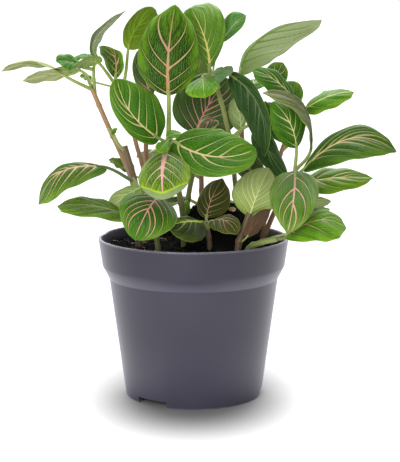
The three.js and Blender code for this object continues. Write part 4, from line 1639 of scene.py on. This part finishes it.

# %% [markdown]
# ## Finish of the pot
# The plastic is a dark slate grey with a breath of violet, evenly moulded and a little shiny. Its lip and
# its standing ring are worn lighter. Its step and its lower half are painted paler, a painted reflection of
# the bright floor, and the inside of the rim is painted darker, as painted shade. All of it is a few noises
# and the height above the table, read from the object's own coordinates.


# %% Pot material
MOULDED = (colour("1f1c2b"), colour("292638"))
FLOOR_REFLECTION_TONE = colour("6a6678")
REFLECTION_TOP = 50
STEP_REFLECTION = 0.45
LOW_REFLECTION = 0.1
FOOT_REFLECTION = 0.25
WORN = colour("8c8896")
WORN_LEAST = 0.15
WORN_PATCHES = 0.4
LIP_WORN_FROM = (POT_HEIGHT - 1.4, POT_HEIGHT - 0.3)
RING_WORN_FROM = (1.1, 0.4)
SCRATCH = colour("77747f")
SCRATCH_SQUEEZE = (1.0, 1.0, 14.0)
SCRATCH_SHARE = 0.3
INSIDE_SHADE = colour("1c1b20")
INSIDE_SHADE_SHARE = 0.6
INSIDE_SOFT = 0.4


def level(z, low, high):
    """Rises from 0 to 1 between two heights that are given in millimetres."""
    return step(z, low * MM, high * MM)


def reflection_share(z):
    """How much painted reflection of the bright floor a height gets: most on the step, less below it and
    near the foot.
    """
    on_step = level(z, STEP_Z - 0.5, STEP_Z + 1) * level(z, BAND_FOOT_Z + 1.5, STEP_Z)
    under_step = level(z, STEP_Z + 2, STEP_Z - 2)
    return on_step * STEP_REFLECTION + under_step * LOW_REFLECTION + level(z, REFLECTION_TOP, 0.0) * FOOT_REFLECTION


def pot_material():
    finish, tree, shader = material("pot plastic")
    place = object_place(tree)
    x, y, z = pieces_of(place)
    slow = cloud(tree, place, scale=22, detail=2.0)
    fine = cloud(tree, place, scale=1400, detail=3.0)
    scratches = cloud(tree, place * vector_of(tree, *SCRATCH_SQUEEZE), scale=150, detail=5.0, rough=0.7)
    # Painted reflection: the step and the lower half are painted paler, standing in for the bright floor
    # that they reflect.
    reflected = blend_colours(reflection_share(z), blend_colours(slow, *MOULDED), FLOOR_REFLECTION_TONE)
    worn = level(z, *LIP_WORN_FROM) + level(z, *RING_WORN_FROM)
    worn = worn * (step(fine, 0.3, 0.7) * WORN_PATCHES + WORN_LEAST)
    scuffs = step(scratches, 0.66, 0.8) * SCRATCH_SHARE
    scuffed = blend_colours(scuffs, blend_colours(worn, reflected, WORN), SCRATCH)
    # Painted shade: the inner wall of the rim band is painted darker, where the inside of the pot lies in
    # shade.
    from_axis = (x * x + y * y).work("SQRT")
    within = step(from_axis, BAND_FOOT_RADIUS * MM, BAND_FOOT_RADIUS * MM - INSIDE_SOFT * MM)
    inside = within * level(z, BAND_FOOT_Z, BAND_FOOT_Z + 1)
    feed(tree, shader.inputs["Base Color"], blend_colours(inside * INSIDE_SHADE_SHARE, scuffed, INSIDE_SHADE))
    feed(tree, shader.inputs["Roughness"], slow * 0.1 + scuffs * 0.4 + 0.3)
    feed(tree, shader.inputs["Normal"], bump(tree, fine + scratches * 0.6, 0.06 * MM, 0.4))
    shader.inputs["Specular IOR Level"].default_value = 0.5
    shader.inputs["Sheen Weight"].default_value = 0.22
    shader.inputs["Sheen Roughness"].default_value = 0.3
    shader.inputs["Sheen Tint"].default_value = (0.72, 0.68, 1.0, 1.0)
    return finish


pot.data.materials.clear()
pot.data.materials.append(pot_material())
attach(pot, "root")
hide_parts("pot")
print("the pot stands for its plain solid")

# %% [markdown]
# ## The soil
# Dark, damp potting soil fills the pot to just under its lip. Its near-black colour is partly the soil's
# own and partly painted shade from the leaves above. In the middle the root ball that the plant came with
# stands up out of it. One fine lumpy body gives both their shape. Crumbs, grit, grains of perlite, thin
# root fibres and a few pale roots lie on it. They are small shapes of a few faces, scattered over the top
# by a geometry tree with fixed seeds.

# %% Soil body
SOIL_Z = 94.6
SOIL_LUMP = 1.2
FINE_LUMP = 0.35
FIT = 0.35
CORNER_FIT = FIT + 0.3
SOIL_RINGS = 48
SOIL_SIDES = 160
ROOT_BALL_X = 14
ROOT_BALL_Y = 9
ROOT_BALL_RADIUS = 32
ROOT_BALL_SLOPE = 20
ROOT_BALL_HEIGHT = 24


def root_ball(x, y):
    """How far the root ball lifts the soil there, in millimetres."""
    inside = ROOT_BALL_RADIUS - math.hypot(x - ROOT_BALL_X, y - ROOT_BALL_Y)
    share = min(max(inside / ROOT_BALL_SLOPE, 0), 1)
    return ROOT_BALL_HEIGHT * share * share * (3 - 2 * share)


def soil_height(x, y):
    """The height of the soil's top in millimetres, as in the plain solid, with finer lumps on it."""
    lump = math.sin(0.21 * x + 1.3) * math.cos(0.17 * y) + 0.6 * math.sin(0.43 * y + 0.35 * x)
    fine = math.sin(1.9 * x + 0.7 * y) * math.sin(1.3 * y - 0.9 * x + 2) * FINE_LUMP
    calm = 1 - (math.hypot(x, y) / RIM_RADIUS) ** 4
    return SOIL_Z + SOIL_LUMP * lump * calm + fine * calm + root_ball(x, y)


rise = (SOIL_Z - BAND_FOOT_Z) / (POT_HEIGHT - BAND_FOOT_Z)
soil_radius = BAND_FOOT_RADIUS + rise * (RIM_RADIUS - BAND_FOOT_RADIUS) - WALL - FIT
soil_outline = [
    (0, FLOOR_Z + FLOOR_THICK + FIT),
    (inner_foot - CORNER_FIT, FLOOR_Z + FLOOR_THICK + FIT),
    (STEP_RADIUS - WALL - CORNER_FIT, STEP_Z + INNER_LIFT),
    (BAND_FOOT_RADIUS - WALL - CORNER_FIT, BAND_FOOT_Z + INNER_LIFT),
]
for k in range(SOIL_RINGS + 1):
    soil_outline.append((soil_radius * (1 - k / SOIL_RINGS), SOIL_Z))
soil = turned("potting_soil", soil_outline, SOIL_SIDES)
for vertex in soil.data.vertices:
    if vertex.co.z > (SOIL_Z - 0.01) * MM:
        vertex.co.z = soil_height(vertex.co.x / MM, vertex.co.y / MM) * MM
smooth(soil)
print(count(soil))


# %% Soil materials
def soil_material(name, dark, light, rough):
    finish, tree, shader = material(name)
    place = object_place(tree)
    lumps = cloud(tree, place, scale=420, detail=5.0, rough=0.7)
    grains = cloud(tree, place, scale=2200, detail=3.0, rough=0.6)
    base = blend_colours(step(lumps, 0.35, 0.7), colour(dark), colour(light))
    tone = blend_colours(step(grains, 0.5, 0.8) * 0.5, base, colour(light))
    feed(tree, shader.inputs["Base Color"], tone)
    feed(tree, shader.inputs["Roughness"], lumps * 0.2 + rough)
    feed(tree, shader.inputs["Normal"], bump(tree, lumps + grains * 0.5, 0.8 * MM, 0.9))
    shader.inputs["Specular IOR Level"].default_value = 0.15
    return finish


# Painted shade in part: the soil's near-black colour is partly its own damp dark colour and partly the
# shade that the leaves cast on it.
SOIL = soil_material("soil", "030303", "0a0908", 0.85)
PERLITE = soil_material("perlite", "8a8478", "cfcac0", 0.8)
FIBRE = soil_material("root fibre", "5a4232", "a08468", 0.7)
PALE_ROOT = soil_material("pale root", "a89c88", "e0d8c8", 0.6)
CHIP = soil_material("bark chip", "a07c50", "d8b88c", 0.7)
soil.data.materials.append(SOIL)
print("soil, perlite, roots and bark share one kind of material")

# %% Scattering over the soil
FACES_UP = 0.4
SCATTER_DEPTH = 4
FROM_WALL = 1.6

SCATTER_INPUTS = {
    "Shape": "Object",
    "Amount": "Float",
    "Smallest": "Float",
    "Largest": "Float",
    "Sink": "Float",
    "Tilt": "Float",
    "Seed": "Int",
    "Finish": "Material",
}


def drawn(tree, lowest, highest):
    """A vector drawn at random for each copy, between two others."""
    node = tree.nodes.new("FunctionNodeRandomValue")
    node.data_type = "FLOAT_VECTOR"
    feed(tree, node.inputs[0], vector_of(tree, *lowest))
    feed(tree, node.inputs[1], vector_of(tree, *highest))
    return out(node)


def scatter_tree():
    """Places copies of a shape over the upward faces of a mesh, turned and sized at random."""
    tree, given = geometry_tree("scatter", SCATTER_INPUTS)
    facing = pieces_of(out(tree.nodes.new("GeometryNodeInputNormal")))[2] > FACES_UP
    x, y, z = pieces_of(out(tree.nodes.new("GeometryNodeInputPosition")))
    clear = (x * x + y * y).work("SQRT") < (soil_radius - FROM_WALL) * MM
    on_top = facing * (z > (SOIL_Z - SCATTER_DEPTH) * MM) * clear
    spread = node_of(
        tree,
        "GeometryNodeDistributePointsOnFaces",
        Mesh=given["Geometry"],
        Selection=on_top,
        Density=given["Amount"],
        Seed=given["Seed"],
    )
    info = node_of(tree, "GeometryNodeObjectInfo", Object=given["Shape"])
    tilt = given["Tilt"]
    turns = drawn(tree, (tilt * -1, tilt * -1, -math.pi), (tilt, tilt, math.pi))
    sizes = drawn(tree, [given["Smallest"]] * 3, [given["Largest"]] * 3)
    copies = node_of(
        tree,
        "GeometryNodeInstanceOnPoints",
        Points=out(spread, "Points"),
        Instance=out(info, "Geometry"),
        Rotation=turns,
        Scale=sizes,
    )
    sunk = node_of(
        tree,
        "GeometryNodeTranslateInstances",
        Instances=out(copies),
        Translation=vector_of(tree, 0.0, 0.0, given["Sink"] * -1),
    )
    sunk.inputs["Local Space"].default_value = False
    ends_with(tree, out(sunk), given["Finish"])
    return tree


SCATTER_TREE = scatter_tree()
print("scatter tree has", len(SCATTER_TREE.nodes), "nodes")


# %% [markdown]
# Crumbs, grit and perlite are three kinds of lump. The roots are one bent fibre in two colours. The largest
# are few, and the smallest many.

# %% Crumbs, grit, perlite and roots
ANY_WAY = 3.0
FIBRE_PATH = [(-1000, 0, 100), (-400, 180, 220), (250, -120, 260), (1000, 160, 80)]
FIBRE_RADIUS = 0.018
FIBRE_SMOOTHNESS = 4


def crumb(name, roughness, flatness, seed):
    """A lump of a few faces about 2 units across."""
    draw = random.Random(seed)
    body = bmesh.new()
    bmesh.ops.create_icosphere(body, subdivisions=1, radius=1)
    for vertex in body.verts:
        vertex.co *= 1 + draw.uniform(-roughness, roughness)
        vertex.co.z *= flatness
    return object_of(name, body)


def fibre(name):
    """A thin bent fibre about 2 units long, with few sides."""
    curve = path_curve(name, FIBRE_PATH)
    curve.bevel_depth = FIBRE_RADIUS
    curve.bevel_resolution = 0
    curve.resolution_u = FIBRE_SMOOTHNESS
    curve.use_fill_caps = True
    return made_plain(placed(name, curve))


def scattered(name, shape, finish, amount, smallest, largest, sink, tilt, seed):
    """Copies of a shape over the soil, so many on a square millimetre, with sizes in millimetres."""
    settings = {
        "Shape": shape,
        "Amount": amount / MM**2,
        "Smallest": smallest * MM,
        "Largest": largest * MM,
        "Sink": sink * MM,
        "Tilt": tilt,
        "Seed": seed,
        "Finish": finish,
    }
    piece = grown(SCATTER_TREE, soil.data.copy(), settings)
    piece.name = name
    bpy.data.objects.remove(shape)
    return piece


litter = [
    scattered(
        "crumbs", crumb("crumb", roughness=0.35, flatness=0.8, seed=1), SOIL,
        amount=0.22, smallest=0.5, largest=1.5, sink=0.2, tilt=ANY_WAY, seed=3,
    ),
    scattered(
        "grit", crumb("grit_grain", roughness=0.3, flatness=0.9, seed=2), SOIL,
        amount=0.35, smallest=0.2, largest=0.6, sink=0.0, tilt=ANY_WAY, seed=8,
    ),
    scattered(
        "perlite", crumb("perlite_grain", roughness=0.2, flatness=0.9, seed=3), PERLITE,
        amount=0.004, smallest=0.4, largest=1.0, sink=0.1, tilt=ANY_WAY, seed=5,
    ),
    scattered(
        "roots", fibre("root"), FIBRE,
        amount=0.003, smallest=3.0, largest=7.0, sink=0.3, tilt=0.25, seed=11,
    ),
    scattered(
        "pale roots", fibre("pale_root"), PALE_ROOT,
        amount=0.0007, smallest=4.0, largest=8.0, sink=-0.6, tilt=0.6, seed=21,
    ),
]
for layer in litter:
    print(count(layer))

# %% [markdown]
# One chip of bark lies on the root ball. It is a crumb again, made flat and long. Then everything that lies
# on the soil becomes one piece with it.

# %% The chip, and the soil with all that lies on it
CHIP_PLACE = Vector((24, -3, 118.2)) * MM
CHIP_SIZE = (3.4, 1.8, 3)
CHIP_TILT = 0.9

chip = crumb("chip", roughness=0.3, flatness=0.25, seed=9)
for vertex in chip.data.vertices:
    sized = Vector([part * size * MM for part, size in zip(vertex.co, CHIP_SIZE)])
    vertex.co = CHIP_PLACE + Matrix.Rotation(CHIP_TILT, 3, "X") @ sized
chip.data.materials.append(CHIP)
bed = joined("potting_soil", [soil, *litter, chip])
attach(bed, "root")
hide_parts("soil")
print(count(bed))

# %% [markdown]
# ## Studio
# The photograph is a product shot on white. The white surround is bright behind and above the plant and
# darker towards the camera, so the pot is dark in the middle and pale along both sides. Two large soft
# lights shape the leaves, one in front and not much higher than the plant, and one above and behind. The
# floor glows white. Only round the pot is it grey and glows less, a painted shadow, which is narrower from
# side to side than from front to back.

# %% Surround
FRONT_GLOW = 0.15
BACK_GLOW = 2.3
TOP_GLOW = 0.7
GLOWS_BEHIND = (-0.1, 0.9)
GLOWS_ABOVE = (0.0, 1.0)
ABOVE_FROM_FRONT = (-0.4, 0.7)
WHITE = (1, 1, 1, 1)

scene = bpy.context.scene
scene.view_settings.view_transform = "Standard"
scene.view_settings.look = "None"
world = bpy.data.worlds.new("white studio")
world.use_nodes = True
scene.world = world
sky = world.node_tree
_, away, up = pieces_of(Formula(sky, sky.nodes.new("ShaderNodeTexCoord").outputs["Generated"]))
behind = step(away, *GLOWS_BEHIND) * BACK_GLOW
above = step(up, *GLOWS_ABOVE) * step(away, *ABOVE_FROM_FRONT) * TOP_GLOW
glow = behind + above + FRONT_GLOW
shown = sky.nodes["Background"]
shown.inputs["Color"].default_value = WHITE
shown.inputs["Strength"].default_value = 1.0
lighting = sky.nodes.new("ShaderNodeBackground")
feed(sky, lighting.inputs["Strength"], glow)
either = sky.nodes.new("ShaderNodeMixShader")
sky.links.new(sky.nodes.new("ShaderNodeLightPath").outputs["Is Camera Ray"], either.inputs[0])
sky.links.new(lighting.outputs[0], either.inputs[1])
sky.links.new(shown.outputs[0], either.inputs[2])
sky.links.new(either.outputs[0], sky.nodes["World Output"].inputs["Surface"])
print("surround glows", FRONT_GLOW, "in front, with", BACK_GLOW, "more behind and", TOP_GLOW, "more above")

# %% Floor
FLOOR_HALF = 20.0
LIT_FROM = 0.05
LIT_FULLY = 0.14
SHADOW_NARROWED = 1.55
PAINTED_SHADOW_GREY = 0.33
FLOOR_GLOW = 1.35


def floor_material():
    finish, tree, shader = material("white floor")
    x, y, _ = pieces_of(object_place(tree))
    # Painted shadow: near the pot the floor is grey and does not glow; further out it turns black and glows
    # white instead of being lit.
    aside = x * SHADOW_NARROWED
    painted_glow = step((aside * aside + y * y).work("SQRT"), LIT_FROM, LIT_FULLY)
    shadow_grey = (PAINTED_SHADOW_GREY, PAINTED_SHADOW_GREY, PAINTED_SHADOW_GREY, 1)
    feed(tree, shader.inputs["Base Color"], blend_colours(painted_glow, shadow_grey, (0, 0, 0, 1)))
    feed(tree, shader.inputs["Emission Strength"], painted_glow * FLOOR_GLOW)
    shader.inputs["Emission Color"].default_value = WHITE
    shader.inputs["Roughness"].default_value = 0.9
    shader.inputs["Specular IOR Level"].default_value = 0.1
    return finish


corners = [(x * FLOOR_HALF, y * FLOOR_HALF, 0) for x, y in ((-1, -1), (1, -1), (1, 1), (-1, 1))]
floor_mesh = bpy.data.meshes.new("floor")
floor_mesh.from_pydata(corners, [], [(0, 1, 2, 3)])
floor = placed("floor", floor_mesh)
floor.data.materials.append(floor_material())
print("the floor is", 2 * FLOOR_HALF, "m wide")


# %% Lights
LIGHT_SIDE = 0.8


def soft_light(name, place, aim, watts):
    data = bpy.data.lights.new(name, "AREA")
    data.shape = "RECTANGLE"
    data.size = LIGHT_SIDE
    data.size_y = LIGHT_SIDE
    data.energy = watts
    light = placed(name, data)
    light.location = place
    light.rotation_euler = (Vector(aim) - Vector(place)).to_track_quat("-Z", "Y").to_euler()


soft_light("front light", place=(-0.35, -1.3, 0.5), aim=(0, 0, 0.14), watts=15)
soft_light("top light", place=(0.05, 0.6, 1.1), aim=(0, 0, 0.1), watts=17)
print("studio ready")
